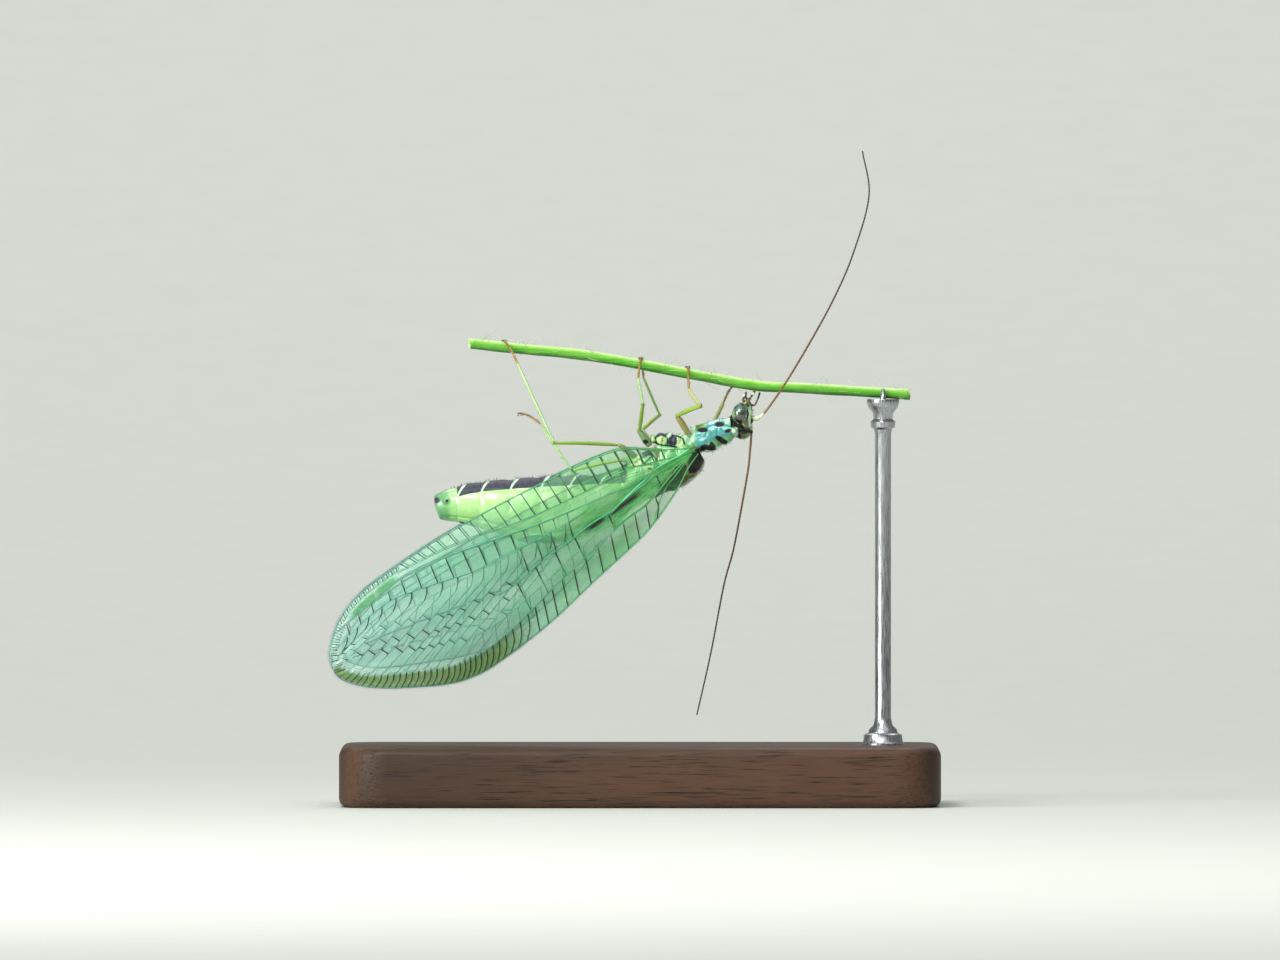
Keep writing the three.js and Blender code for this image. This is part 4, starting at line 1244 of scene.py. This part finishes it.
def abdomen_marks(places):
    """The dark belly plates, their pale hind margins and the lines between segments below them."""
    x, z = places[:, 0], places[:, 2]
    line = flowing(ABDOMEN, 8)[::-1]
    top = np.interp(x, line[:, 0], line[:, 1] + line[:, 2])
    to_top = top - z
    plates = rising(PLATE_DEPTH - to_top) * rising(-0.42 - x, 0.15) * rising(x + 6.1)
    bands = np.zeros(len(places))
    lines = np.zeros(len(places))
    down = np.clip(to_top / 0.5, 0, 1)
    for border in SEGMENT_BORDERS[1:]:
        off = np.abs(x - border - BAND_BOW * (1 - down) ** 2)
        bands = np.maximum(bands, rising(0.062 - 0.045 * down - off) * (to_top < BAND_DEPTH))
        lines = np.maximum(lines, rising(0.006 - off) * (to_top > BAND_DEPTH))
    return plates, bands, lines


def eye(name, side):
    """One eye, with a painted highlight, a pale sickle, at its back."""
    x, out, z = EYE_PLACE
    clear()
    bpy.ops.mesh.primitive_ico_sphere_add(
        subdivisions=6, radius=1, location=(x, side * out, z), scale=EYE_HALF
    )
    piece = bpy.context.object
    piece.name = name + "_dome"
    bpy.ops.object.transform_apply(location=True, rotation=True, scale=True)
    # The pale values mark where the painted highlight lies.
    give(piece, "pale", spot(3.1, 13.06, 0.06, 0.16)(places_of(piece)))
    return piece


# Palps: joints as X, Y, Z and radius, and the shade between each and the next
OUTER_PALP = [
    (3.6, -0.1, 13.45, 0.03), (3.55, -0.17, 13.56, 0.035), (3.51, -0.21, 13.62, 0.035),
    (3.46, -0.24, 13.69, 0.055),
]
SIDE_PALP = [
    (3.5, -0.22, 13.38, 0.03), (3.42, -0.28, 13.54, 0.035), (3.52, -0.27, 13.6, 0.035),
    (3.53, -0.27, 13.78, 0.02),
]
MIDDLE_PALP = [
    (3.62, 0.06, 13.46, 0.03), (3.7, 0.02, 13.6, 0.035), (3.75, 0.0, 13.67, 0.03),
    (3.81, -0.02, 13.74, 0.055), (3.8, 0, 13.79, 0.02), (3.85, 0.02, 13.87, 0.04),
]
FAR_PALP = [
    (3.66, 0.2, 13.36, 0.03), (3.82, 0.24, 13.3, 0.03), (3.92, 0.26, 13.5, 0.028),
    (4.0, 0.27, 13.76, 0.032),
]
PALPS = [
    (OUTER_PALP, (0.7, 0.9, 0.1)), (SIDE_PALP, (0.7, 0.95, 0.9)),
    (MIDDLE_PALP, (0.5, 0.8, 0.1, 0.7, 0.15)), (FAR_PALP, (0.6, 0.5, 1.0)),
]


# One jaw: X, distance out, Z, half width and half height
JAW = [
    (3.46, 0.2, 13.34, 0.09, 0.08), (3.56, 0.17, 13.45, 0.085, 0.07), (3.64, 0.1, 13.53, 0.06, 0.05),
    (3.66, 0.03, 13.58, 0.02, 0.02),
]


def mouth():
    """Jaws and the jointed palps."""
    parts = []
    for side in (LEFT, RIGHT):
        jaw = [(x, side * out, z, wide, high) for x, out, z, wide, high in JAW]
        parts.append(bar("jaw", flowing(jaw, 4), sides=12, along=(0.4, 0.75)))
    for line, shades in PALPS:
        for first, last, shade in zip(line, line[1:], shades):
            thick = max(first[3], last[3])
            parts.append(limb("palp", first[:3], last[:3], thick, PALP, (shade, shade), sides=10))
    return join("mouthparts", parts)


# Legs and feelers

# Thickness along each kind of joint, as share of its length and of its radius
COXA = ((0, 0.9), (0.3, 1.1), (0.7, 1.0), (0.92, 0.8), (1, 0.5))
FEMUR = ((0, 0.55), (0.08, 0.75), (0.35, 1.0), (0.7, 0.9), (0.93, 0.78), (0.985, 0.72), (1.01, 0.4))
TIBIA = ((0, 0.7), (0.06, 0.85), (0.3, 1.0), (0.6, 1.08), (0.94, 0.95), (1, 0.6))
TARSUS = ((0, 0.55), (0.3, 0.85), (0.85, 1.05), (1, 0.6))
SCAPE = ((0, 0.75), (0.3, 1.0), (0.8, 0.95), (1, 0.55))
PEDICEL = ((0, 0.7), (0.4, 1.0), (0.9, 0.9), (1, 0.6))
BARREL = ((0, 0.8), (0.15, 0.92), (0.7, 1.06), (0.93, 1.0), (1, 0.8))
PALP = ((0, 0.55), (0.25, 0.95), (0.7, 1.05), (0.93, 0.8), (1, 0.4))

# Where the five foot joints meet, their thickness, and how far the foot arches
FOOT_SHARES = (0, 0.3, 0.47, 0.62, 0.76, 1.0)
FOOT_SIZES = (0.62, 0.56, 0.54, 0.54, 0.6)
FOOT_ARCH = 0.06

# A claw's hook: share forward, share sideways, drop and radius
HOOK = ((0, 0, 0, 0.022), (0.05, 1, 0, 0.018), (0.08, 1.3, 0.05, 0.012), (0.05, 1.2, 0.09, 0.004))
HOOK_SPREAD = 0.05


def limb(name, start, end, radius, profile, along, sides=14, bow=0.0, steps=3):
    """A tapering limb between two points, thick as the profile says and bowed upward a little."""
    a, b = np.array(start, float), np.array(end, float)
    line = flowing([(share, size) for share, size in profile], steps)
    stations = []
    for share, size in line:
        rise = bow * math.sin(math.pi * min(max(share, 0), 1))
        stations.append((*(a + (b - a) * share + np.array((0, 0, rise))), radius * max(size, 0.05)))
    return bar(name, stations, sides=sides, along=along)


COXA_MARKS = [spot(0.2, 12.12, 0.1, 0.06, -20), stroke(0.03, (0.1, 12.14), (0.18, 11.98))]


def leg(name):
    """Coxa, trochanter, femur, knee and tibia, with the jointed foot."""
    root, trochanter, knee, ankle, claw = (np.array(p) for p in LEGS[name])
    hip, thigh, shin = LEG_SIZES[name.split("_")[0]]
    parts = [
        limb("coxa", root, trochanter, hip, COXA, (0.0, 0.1)),
        ball_part("trochanter", trochanter, hip * 0.74, 0.12),
        limb("femur", trochanter, knee, thigh, FEMUR, (0.16, 0.44), bow=0.03),
        ball_part("knee", knee, thigh * 0.72, 0.46),
        limb("tibia", knee, ankle, shin, TIBIA, (0.48, 0.72), bow=-0.02),
    ]
    if name.startswith("fore"):
        for part, share in ((parts[0], 0.85), (parts[4], 0.6)):
            give(part, "tan", np.full(len(part.data.vertices), share))
    if name.startswith("mid"):
        places = places_of(parts[0])
        give(parts[0], "black", np.max([mark(places) for mark in COXA_MARKS], axis=0))
    parts += foot(ankle, claw, shin)
    return join(name + "_shell", parts)


def ball_part(name, place, radius, share):
    """A ball of one shade between two joints."""
    piece = ball(name, place, (radius,) * 3, 12, 8)
    give(piece, "along", np.full(len(piece.data.vertices), share))
    return piece


def foot(ankle, claw, shin):
    """Five small joints, the last with two hooked claws and a pad between them."""
    arch = np.array((0, 0, FOOT_ARCH))
    spots = [ankle + (claw - ankle) * s + arch * math.sin(math.pi * s) for s in FOOT_SHARES]
    parts = []
    for i, share in enumerate(FOOT_SIZES):
        shade = 0.76 + 0.03 * i
        size = share * max(shin, 0.07)
        parts.append(limb("tarsus", spots[i], spots[i + 1], size, TARSUS, (shade, shade + 0.03), sides=10))
    way = (claw - spots[-2]) / np.linalg.norm(claw - spots[-2])
    down = np.array((0, 0, -1.0))
    for side in (LEFT, RIGHT):
        spread = np.array((side * HOOK_SPREAD, 0, 0))
        hook = [(*(claw + way * on + spread * out + down * drop), thick) for on, out, drop, thick in HOOK]
        parts.append(bar("claw", flowing(hook, 3), sides=8, along=(0.97, 1.0)))
    parts.append(ball_part("pad", claw + way * 0.03 + down * 0.02, 0.03, 0.9))
    return parts


def feeler(name):
    """Scape, pedicel and many small barrel joints."""
    line = evenly(FEELERS[name], 400)
    places = [Vector(p) for p in line]
    lengths = np.concatenate([[0], np.cumsum([(b - a).length for a, b in zip(places, places[1:])])])

    def point(distance):
        return Vector([float(np.interp(distance, lengths, line[:, c])) for c in range(3)])

    near = name.endswith("left")
    # Painted light: the near feeler's pedicel and first joints take the scape's pale shade, as if sunlit,
    # while the far feeler's pedicel stays black.
    pedicel_shade = (0.012, 0.018) if near else (0.026, 0.034)
    first, last = point(SCAPE_LENGTH - 0.02), point(FEELER_START + 0.02)
    parts = [
        limb("scape", point(0), point(SCAPE_LENGTH), SCAPE_RADIUS, SCAPE, (0.0, 0.01), sides=16),
        limb("pedicel", first, last, PEDICEL_RADIUS, PEDICEL, pedicel_shade),
    ]
    total = lengths[-1]
    step = (total - FEELER_START) / FEELER_JOINTS
    for i in range(FEELER_JOINTS):
        start = FEELER_START + i * step
        share = i / FEELER_JOINTS
        radius = FEELER_RADIUS + (FEELER_TIP - FEELER_RADIUS) * share ** 0.8
        # Painted light: the near feeler's first joints stay pale.
        value = 0.012 if near and start < FEELER_START + 0.08 else (start + 0.7) / total
        end = point(start + step * 1.02)
        shade = (value, value + 0.004)
        parts.append(limb("joint", point(start), end, radius, BARREL, shade, sides=10, steps=1))
    return join(name + "_shell", parts)


def skin_bristles(skin, name, count, chance, wanted, length, thick, lean=(-0.3, 0, 0)):
    """Short bristles standing on the skin where the test allows."""
    places = places_of(skin)
    normals = normals_of(skin)
    open_spots = [i for i in range(len(places)) if wanted(places[i], normals[i])]
    seats = []
    for i in chance.sample(open_spots, min(count, len(open_spots))):
        way = Vector(normals[i]) + Vector(lean) + Vector([chance.uniform(-0.25, 0.25) for _ in range(3)])
        seats.append((places[i] - normals[i] * 0.01, way, chance.uniform(*length), thick))
    return strew(name, hair(), seats)


# Wings

def eased(value):
    """From 0 to 1 with a gentle start and end."""
    t = min(max(value, 0.0), 1.0)
    return t * t * (3 - 2 * t)


def wing_place(plan, side, reach, fall, lift=0.0):
    """Where a point of the wing lies. Inside the root it runs in to the thorax."""
    roof = ROOF_RIDGE + ROOF_SLOPE * (ROOF_FOOT - fall) - plan["inset"]
    settled = eased((reach - plan["root_reach"]) / plan["settle"])
    depth = plan["root_depth"] + (roof - plan["root_depth"]) * settled
    inner = max(0.0, plan["root_reach"] + 0.1 - reach)
    depth -= inner * 1.3
    tilt = math.atan(ROOF_SLOPE)
    depth += lift * math.cos(tilt)
    return WING_ORIGIN + SPAN * reach + FALL * fall + Vector((0, side * depth, 0))


def edge_lines(plan, count):
    """The wing's front and back edges, from root to tip."""
    return evenly(plan["front"], count), evenly(plan["back"], count)


def pleat(share, reach):
    """The membrane's gentle folds between its main veins."""
    return PLEAT_HEIGHT * math.sin(share * PLEATS * math.tau) * min(1, reach / 2)


def membrane(name, plan, side, rows=130, columns=60):
    """The wing's film, with a value on its vertices for each tinted region."""
    clear()
    bpy.ops.mesh.primitive_grid_add(x_subdivisions=rows, y_subdivisions=columns, size=2)
    piece = bpy.context.object
    piece.name = name
    grid = places_of(piece)
    front, back = edge_lines(plan, rows + 1)
    moved = []
    for x, y, _ in grid:
        row = int(round((x + 1) / 2 * rows))
        share = (y + 1) / 2
        lead, trail = front[row], back[row]
        reach, fall = lead + (trail - lead) * share
        moved.append(wing_place(plan, side, reach, fall, pleat(share, reach)))
    move_to(piece, np.array([tuple(p) for p in moved]))
    modify(piece, "SOLIDIFY", thickness=MEMBRANE, offset=0)
    if plan is FOREWING:
        tint_regions(piece)
    else:
        for region in ("strap", "dark_cell", "skirt", "belt"):
            give(piece, region, np.zeros(len(piece.data.vertices)))
    return piece


def tint_regions(piece):
    """The forewing's green strap and green cells near the tip, its dark cell, skirt and olive belt."""
    places = places_of(piece) - np.array(WING_ORIGIN)
    reach, fall = places @ np.array(SPAN), places @ np.array(FALL)
    radius, cubitus = (fall_on(FORE_VEINS[vein], reach) for vein in ("radius", "cubitus"))
    band = np.clip(np.minimum(fall - radius + 0.1, cubitus - fall - 0.08) / 0.1, 0, 1)
    strap = band * np.clip((4.8 - reach) / 3.6, 0, 1) ** 1.3
    strap *= np.clip(np.hypot((reach - 1.25) / 0.24, (fall - 0.05) / 0.17) - 0.6, 0, 1)
    top = fall_on(FOREWING["front"], reach) + 0.18
    cell = np.clip(np.minimum(fall - top, radius + 0.06 - fall) / 0.1, 0, 1)
    cell *= np.clip((reach - 10.5) / 0.2, 0, 1) * np.clip((12.6 - reach) / 0.3, 0, 1)
    cell *= 1 - 0.6 * (np.abs(reach - 11.35) < 0.05)
    give(piece, "strap", np.maximum(strap, cell * 0.72))
    off = np.abs(fall - 0.27 - 0.095 * (reach - 2.1)) / 0.11
    ends = np.clip(np.minimum(reach - 1.95, 4.35 - reach) / 0.3, 0, 1)
    ends *= np.clip(np.abs(reach - 3.4) / 0.2, 0.2, 1)
    give(piece, "dark_cell", np.clip(1.6 - 1.3 * off, 0, 1) * ends)
    give(piece, "skirt", np.clip((fall - cubitus) / 0.3, 0, 1) * np.clip((reach - 1) / 2, 0, 1))
    below = np.clip((fall - fall_on(BELT, reach)) / 0.08, 0, 1)
    give(piece, "belt", below * np.clip((reach - 7.2) / 1.5, 0, 1))


def fall_on(vein, reach):
    """A vein's fall at one reach, or at many."""
    rows = np.array(vein, float)
    return np.interp(reach, rows[:, 0], rows[:, 1])


def ladder(front, back, starts, lean):
    """Crossveins from one vein to the next, leaning outwards by a little."""
    rungs = []
    for start in starts:
        end = start + (lean(start) if callable(lean) else lean)
        rungs.append([(start, fall_on(front, start)), (end, fall_on(back, end))])
    return rungs


def tubes(name, plan, side, lines):
    """Round veins drawn on the wing. A line is its points and its two end radii."""
    data = bpy.data.curves.new(name, "CURVE")
    data.dimensions = "3D"
    data.bevel_depth = 1.0
    data.bevel_resolution = 1
    data.use_fill_caps = True
    for points, (thick, thin) in lines:
        fine = flowing(points, 5 if len(points) > 2 else 3)
        spline = data.splines.new("POLY")
        spline.points.add(len(fine) - 1)
        for k, (point, (reach, fall)) in enumerate(zip(spline.points, fine)):
            point.co = (*wing_place(plan, side, reach, fall), 1)
            point.radius = thick + (thin - thick) * k / (len(fine) - 1)
    piece = bpy.data.objects.new(name, data)
    bpy.context.scene.collection.objects.link(piece)
    pick([piece])
    bpy.ops.object.convert(target="MESH")
    return bpy.context.view_layer.objects.active


def branch(start, sector, belt):
    """One branch of the sector vein as reach and fall, from the sector to the belt at the hind margin."""
    top = fall_on(sector, start)
    share = min(max((start - 5) / 8, 0), 1)
    knee = (start + BRANCH_KNEE[0], top + BRANCH_KNEE[1] * (1 - 0.45 * share))
    slope = BRANCH_SLOPE[0] + (BRANCH_SLOPE[1] - BRANCH_SLOPE[0]) * share
    points = [(start, top), (start + BRANCH_KNEE[0] * 0.35, top + (knee[1] - top) * 0.5), knee]
    reach, fall = knee
    while reach < 13.5 and fall < fall_on(belt, reach):
        reach += 0.3
        fall += slope * 0.3
        points.append((reach, fall))
    points[-1] = (points[-1][0] - 0.12, min(points[-1][1], fall_on(belt, points[-1][0])))
    return points


def crossing(line, row):
    """Where a branch passes a row of steps, or None."""
    for first, second in zip(line, line[1:]):
        a, b = (p[1] - fall_on(row, p[0]) for p in (first, second))
        if a <= 0 < b and first[0] > row[0][0]:
            return blend_points(first, second, a / (a - b))
    return None


def forewing_lines():
    """The forewing's main, fine, black and bright veins."""
    veins = FORE_VEINS
    front, back = edge_lines(FOREWING, 60)
    green = [(front, (0.024, 0.018)), (back, (0.018, 0.018))]
    for name, line in veins.items():
        start = {"radius": 0.04, "media": 0.04, "cubitus": 0.028}.get(name, 0.02)
        green.append((line, (start, 0.014)))
    black = []
    black += ladder(front, veins["subcosta"], COSTAL_STARTS, lambda a: 0.04 - 0.018 * a)
    black += ladder(veins["radius"], veins["sector"], RADIAL_STARTS, 0.09)
    black += ladder(veins["media"], veins["cubitus"], MIDDLE_STARTS, 0.06)
    black += ladder(veins["sector"], veins["media"], INNER_STARTS, 0.14)
    black += ladder(veins["cubitus"], back, HIND_STARTS, 0.27)
    black.append([*ROOT_VEIN, (2.0, fall_on(back, 2.0))])
    cells = [10.35 + 0.19 * i for i in range(14)]
    black += [[(a, fall_on(front, a)), (a + 0.02, fall_on(front, a) + 0.16)] for a in cells]
    fine = [([(a, fall_on(front, a) + 0.16) for a in cells], (0.012, 0.012))]
    for upper, lower in (("radius", "media"), ("media", "cubitus")):
        strand = [(a, (fall_on(veins[upper], a) + fall_on(veins[lower], a)) / 2) for a in STRAND_STOPS]
        fine.append((strand, (0.016, 0.006)))
    lines = [branch(start, veins["sector"], BELT) for start in BRANCH_STARTS]
    for line in lines:
        fine.append((line, (0.013, 0.009)))
    for one, other in zip(lines, lines[1:]):
        for row in STEP_ROWS:
            start = crossing(one, row)
            if start and start[0] + STEP_LEAN < 13.4:
                end = start[0] + STEP_LEAN
                black.append([start, (end, max(fall_on(other, end), start[1] - 0.36))])
    black = [(line, (CROSS_VEIN, CROSS_VEIN * 0.85)) for line in black]
    black += [(line[:3], (0.018, 0.013)) for line in lines]
    for inner, outer in zip(evenly(TIP_INNER, 13), evenly(TIP_OUTER, 13)):
        black.append(([tuple(inner), tuple(outer)], BELT_VEIN))
    reach = BELT[0][0]
    while reach < 13.1:
        fall = fall_on(BELT, reach)
        end = reach + 0.5 - 0.02 * (reach - 7)
        foot = fall_on(back, end)
        middle = (reach + (end - reach) * 0.35, fall + (foot - fall) * 0.55)
        black.append(([(reach, fall), middle, (end, foot)], BELT_VEIN))
        reach += 0.36 - 0.17 * min((reach - 7.3) / 2.2, 1)
    return green, fine, black, [(BRIGHT_LINE, (0.034, 0.016))]


def blend_points(first, second, share):
    """The point that lies this share of the way from the first to the second."""
    return tuple(a + (b - a) * share for a, b in zip(first, second))


def hindwing_lines():
    """The hindwing's fine and black veins. It has no main or bright ones."""
    veins = HIND_VEINS
    front, back = edge_lines(HINDWING, 60)
    fine = [(front, (0.02, 0.013)), (back, (0.016, 0.012))]
    fine += [(line, (0.012, 0.01)) for line in veins.values()]
    black = []
    black += ladder(front, veins["subcosta"], [2.2 + 0.46 * i for i in range(20)], 0.0)
    black += ladder(veins["radius"], veins["sector"], [3.2 + 0.55 * i for i in range(17)], 0.08)
    black += ladder(veins["sector"], veins["media"], [3.6, 4.6, 5.6, 6.6], 0.12)
    black += ladder(veins["media"], veins["cubitus"], [2.8, 3.9, 5.0, 6.1, 7.0], 0.1)
    black += ladder(veins["cubitus"], back, [2.2 + 0.48 * i for i in range(15)], 0.22)
    sector = veins["sector"]
    for i in range(9):
        start = 6.6 + 0.62 * i
        end = min(start + 1.9, 13.1)
        top = fall_on(sector, start)
        drop = fall_on(back, end) - top
        knee = (start + 0.5, top + drop * 0.38)
        shin = (start + 1.1, top + drop * 0.7)
        fine.append(([(start, top), knee, shin, (end, top + drop)], (0.012, 0.009)))
        black.append([knee, (start + 1.0, top + drop * 0.32)])
        black.append([shin, (start + 1.55, top + drop * 0.6)])
    return [], fine, [(line, (0.013, 0.01)) for line in black], []


def fringe(name, plan, side, chance):
    """Short hairs set all round the wing's margin."""
    front, back = edge_lines(plan, 260)
    seats = []
    for line, way in ((front, -1), (back, 1)):
        for reach, fall in line[8:]:
            place = wing_place(plan, side, reach, fall)
            stray = Vector((0, 0.1 * side * chance.uniform(-1, 1), 0))
            out = FALL * way + SPAN * (0.5 + max(0.0, reach - 12)) + stray
            seats.append((place, out, chance.uniform(0.07, 0.11), 0.011))
    return strew(name, hair(), seats)


# Stage

# The paper's half breadth, half depth and middle, then the rise of each step of its bank
PAPER_HALF = (700, 330)
PAPER_MIDDLE = -270
BANK_STEP = 20
BANK = [0.1, 0.5, 1.0, 1.5, 2.2, 2.8, 3.4, 4.0, 4.6, 5.2, 5.8, 6.4]


def studio():
    """Pale paper that runs back and rises behind in a low bank."""
    clear()
    bpy.ops.mesh.primitive_plane_add(size=2)
    sweep = bpy.context.object
    sweep.name = "paper_sweep"
    bpy.ops.object.mode_set(mode="EDIT")
    bpy.ops.mesh.select_mode(type="EDGE")
    bpy.ops.transform.resize(value=(*PAPER_HALF, 1))
    bpy.ops.transform.translate(value=(0, PAPER_MIDDLE, 0))
    choose_edges(sweep, lambda a, b: min(a.y, b.y) > 0)
    for rise in BANK:
        bpy.ops.mesh.extrude_region_move(TRANSFORM_OT_translate={"value": (0, BANK_STEP, rise)})
    bpy.ops.mesh.select_all(action="SELECT")
    bpy.ops.mesh.normals_make_consistent(inside=False)
    bpy.ops.object.mode_set(mode="OBJECT")
    sweep.data.transform(Matrix.Scale(MM, 4))
    pick([sweep])
    bpy.ops.object.shade_smooth()
    sweep.data.materials.append(floor_finish())


# Square lamps: place, aim, size, power in watts and colour
LAMPS = {
    "ceiling": ((0, -60, 420), (0, -60, 0), 560, 0.75, (1.0, 1.0, 0.99)),
    "key": ((-50, -140, 140), (0, 0, 10), 45, 0.17, (1.0, 0.98, 0.94)),
    "front": ((-150, -140, 64), (0, 0, 12), 100, 0.32, (1.0, 1.0, 0.98)),
    "paper_back": ((0, 240, 260), (0, 225, 0), 240, 0.4, (1.0, 1.0, 1.0)),
    "paper_front": ((0, -290, 180), (0, -240, 0), 160, 0.16, (1.0, 1.0, 1.0)),
}
ROOM_COLOUR = (0.86, 0.93, 0.88, 1)
ROOM_STRENGTH = 0.26


def lamp(name, place, aim, size, power, colour):
    clear()
    bpy.ops.object.light_add(type="AREA", location=tuple(c * MM for c in place))
    light = bpy.context.object
    light.name = name
    light.data.size = size * MM
    light.data.energy = power
    light.data.color = colour
    way = Vector(aim) - Vector(place)
    light.rotation_euler = way.to_track_quat("-Z", "Y").to_euler()


def lighting():
    for name, settings in LAMPS.items():
        lamp(name, *settings)
    world = bpy.data.worlds.new("soft_room")
    bpy.context.scene.world = world
    world.use_nodes = True
    background = world.node_tree.nodes["Background"]
    background.inputs["Color"].default_value = ROOM_COLOUR
    background.inputs["Strength"].default_value = ROOM_STRENGTH
    bpy.context.scene.view_settings.view_transform = "Standard"


def camera_view():
    """A long lens, so that the near and far wings line up."""
    lift = math.radians(CAMERA_LIFT)
    aim = Vector(AIM)
    place = aim + Vector((0, -math.cos(lift), math.sin(lift))) * CAMERA_REACH
    camera = bpy.data.objects.new("camera", bpy.data.cameras.new("camera"))
    bpy.context.scene.collection.objects.link(camera)
    camera.location = place * MM
    camera.rotation_euler = (aim - place).to_track_quat("-Z", "Y").to_euler()
    camera.data.sensor_width = SENSOR
    camera.data.lens = SENSOR * CAMERA_REACH / VIEW_WIDTH
    camera.data.clip_start = 0.005
    camera.data.clip_end = 10
    bpy.context.scene.camera = camera


# Assembly

MARK = mark_group()
MOTTLE = mottle_group()
chance = random.Random(7)

settle(stand_base(), wood_finish(), "stand_wood", "stand_base", angle=30)
settle(stand_rod(), steel_finish(), "stand_metal", "stand_rod", angle=40)
settle(tendril(), tendril_finish(), "stem_green", "perch_stem")
settle(tendril_hairs(chance), bristle_finish("tendril_hair", "a8bc8c", "d8e4c4", 0.5), "stem_green")

skin = body_skin()
dark_bristle = bristle_finish("dark_bristle", "14120e", "3a3426", 0.4)
pale_bristle = bristle_finish("pale_bristle", "9aa27a", "d8dcc0", 0.45)
belly_hairs = skin_bristles(
    skin, "belly_bristles", 420, chance, lambda p, n: -6.3 < p[0] < -0.4 and n[2] > 0.55,
    (0.06, 0.14), 0.012,
)
back_hairs = skin_bristles(
    skin, "back_bristles", 300, chance, lambda p, n: p[0] < -0.4 and n[2] < 0.5, (0.05, 0.1), 0.009,
)
chest_hairs = skin_bristles(
    skin, "chest_bristles", 420, chance, lambda p, n: -0.2 < p[0] < 3.1,
    (0.06, 0.15), 0.01, (0.1, 0, 0.1),
)
head_hairs = skin_bristles(
    skin, "head_bristles", 130, chance, lambda p, n: p[0] > 3.2 and abs(p[1]) < 0.4,
    (0.05, 0.11), 0.009, (0.2, 0, 0.2),
)
settle(skin, skin_finish(), "thorax_shell", "head", "prothorax", "mesothorax", "metathorax", "abdomen")
settle(belly_hairs, dark_bristle, "abdomen_shell")
settle(back_hairs, pale_bristle, "abdomen_shell")
settle(chest_hairs, dark_bristle, "thorax_shell")
settle(head_hairs, dark_bristle, "head_shell")

eye_gloss = eye_finish()
for name, side in (("eye_left", LEFT), ("eye_right", RIGHT)):
    settle(eye(name, side), eye_gloss, "eye", name)

leg_shell = limb_finish()
settle(mouth(), mouth_finish(), "head_shell")
for name in LEGS:
    shell = leg(name)
    down = skin_bristles(
        shell, name + "_bristles", 130, chance, lambda p, n: True, (0.04, 0.08), 0.008, (0, 0, 0.1)
    )
    settle(shell, leg_shell, "leg", name)
    settle(down, dark_bristle, "leg")

feeler_shell = feeler_finish()
for name in FEELERS:
    settle(feeler(name), feeler_shell, "feeler", name)

# Film tints from root to tip; the paler, bluer outer stops are partly painted sheen.
fore_film = membrane_finish(
    "forewing_film",
    [(0.0, "5cc464"), (0.25, "60cc7c"), (0.5, "80deaa"), (0.75, "9ae8ca"), (1.0, "b4ecdc")], 0.26
)
hind_film = membrane_finish(
    "hindwing_film", [(0.0, "64c878"), (0.3, "74d09c"), (0.6, "90dcc8"), (1.0, "a4dcdc")], 0.2
)
green_vein = main_vein_finish(
    "vein_green",
    [(0.0, "4cac54"), (0.1, "4cae60"), (0.3, "44a470"), (0.5, "48987c"), (0.8, "5a9c94"), (1.0, "78aca4")]
)
pale_vein = main_vein_finish(
    "vein_pale", [(0.0, "5cbc70"), (0.2, "58b078"), (0.5, "4c8672"), (0.8, "588c7e"), (1.0, "7ca8a0")]
)
bright_vein = main_vein_finish(
    "vein_bright", [(0.0, "8ce8b8"), (0.12, "78e0c0"), (0.26, "58c49c"), (1.0, "58c49c")]
)
VEIN_FINISHES = [
    ("_main_veins", green_vein), ("_fine_veins", pale_vein), ("_cross_veins", cross_vein_finish()),
    ("_bright_vein", bright_vein),
]
for side, word in ((LEFT, "left"), (RIGHT, "right")):
    for kind, plan, film, lines in (
        ("forewing", FOREWING, fore_film, forewing_lines()),
        ("hindwing", HINDWING, hind_film, hindwing_lines()),
    ):
        node = kind + "_" + word
        settle(membrane(node + "_membrane", plan, side), film, "wing", node)
        for (ending, finish), drawn in zip(VEIN_FINISHES, lines):
            if drawn:
                settle(tubes(node + ending, plan, side, drawn), finish, "wing")
        settle(fringe(node + "_fringe", plan, side, chance), dark_bristle, "wing")

studio()
lighting()
camera_view()
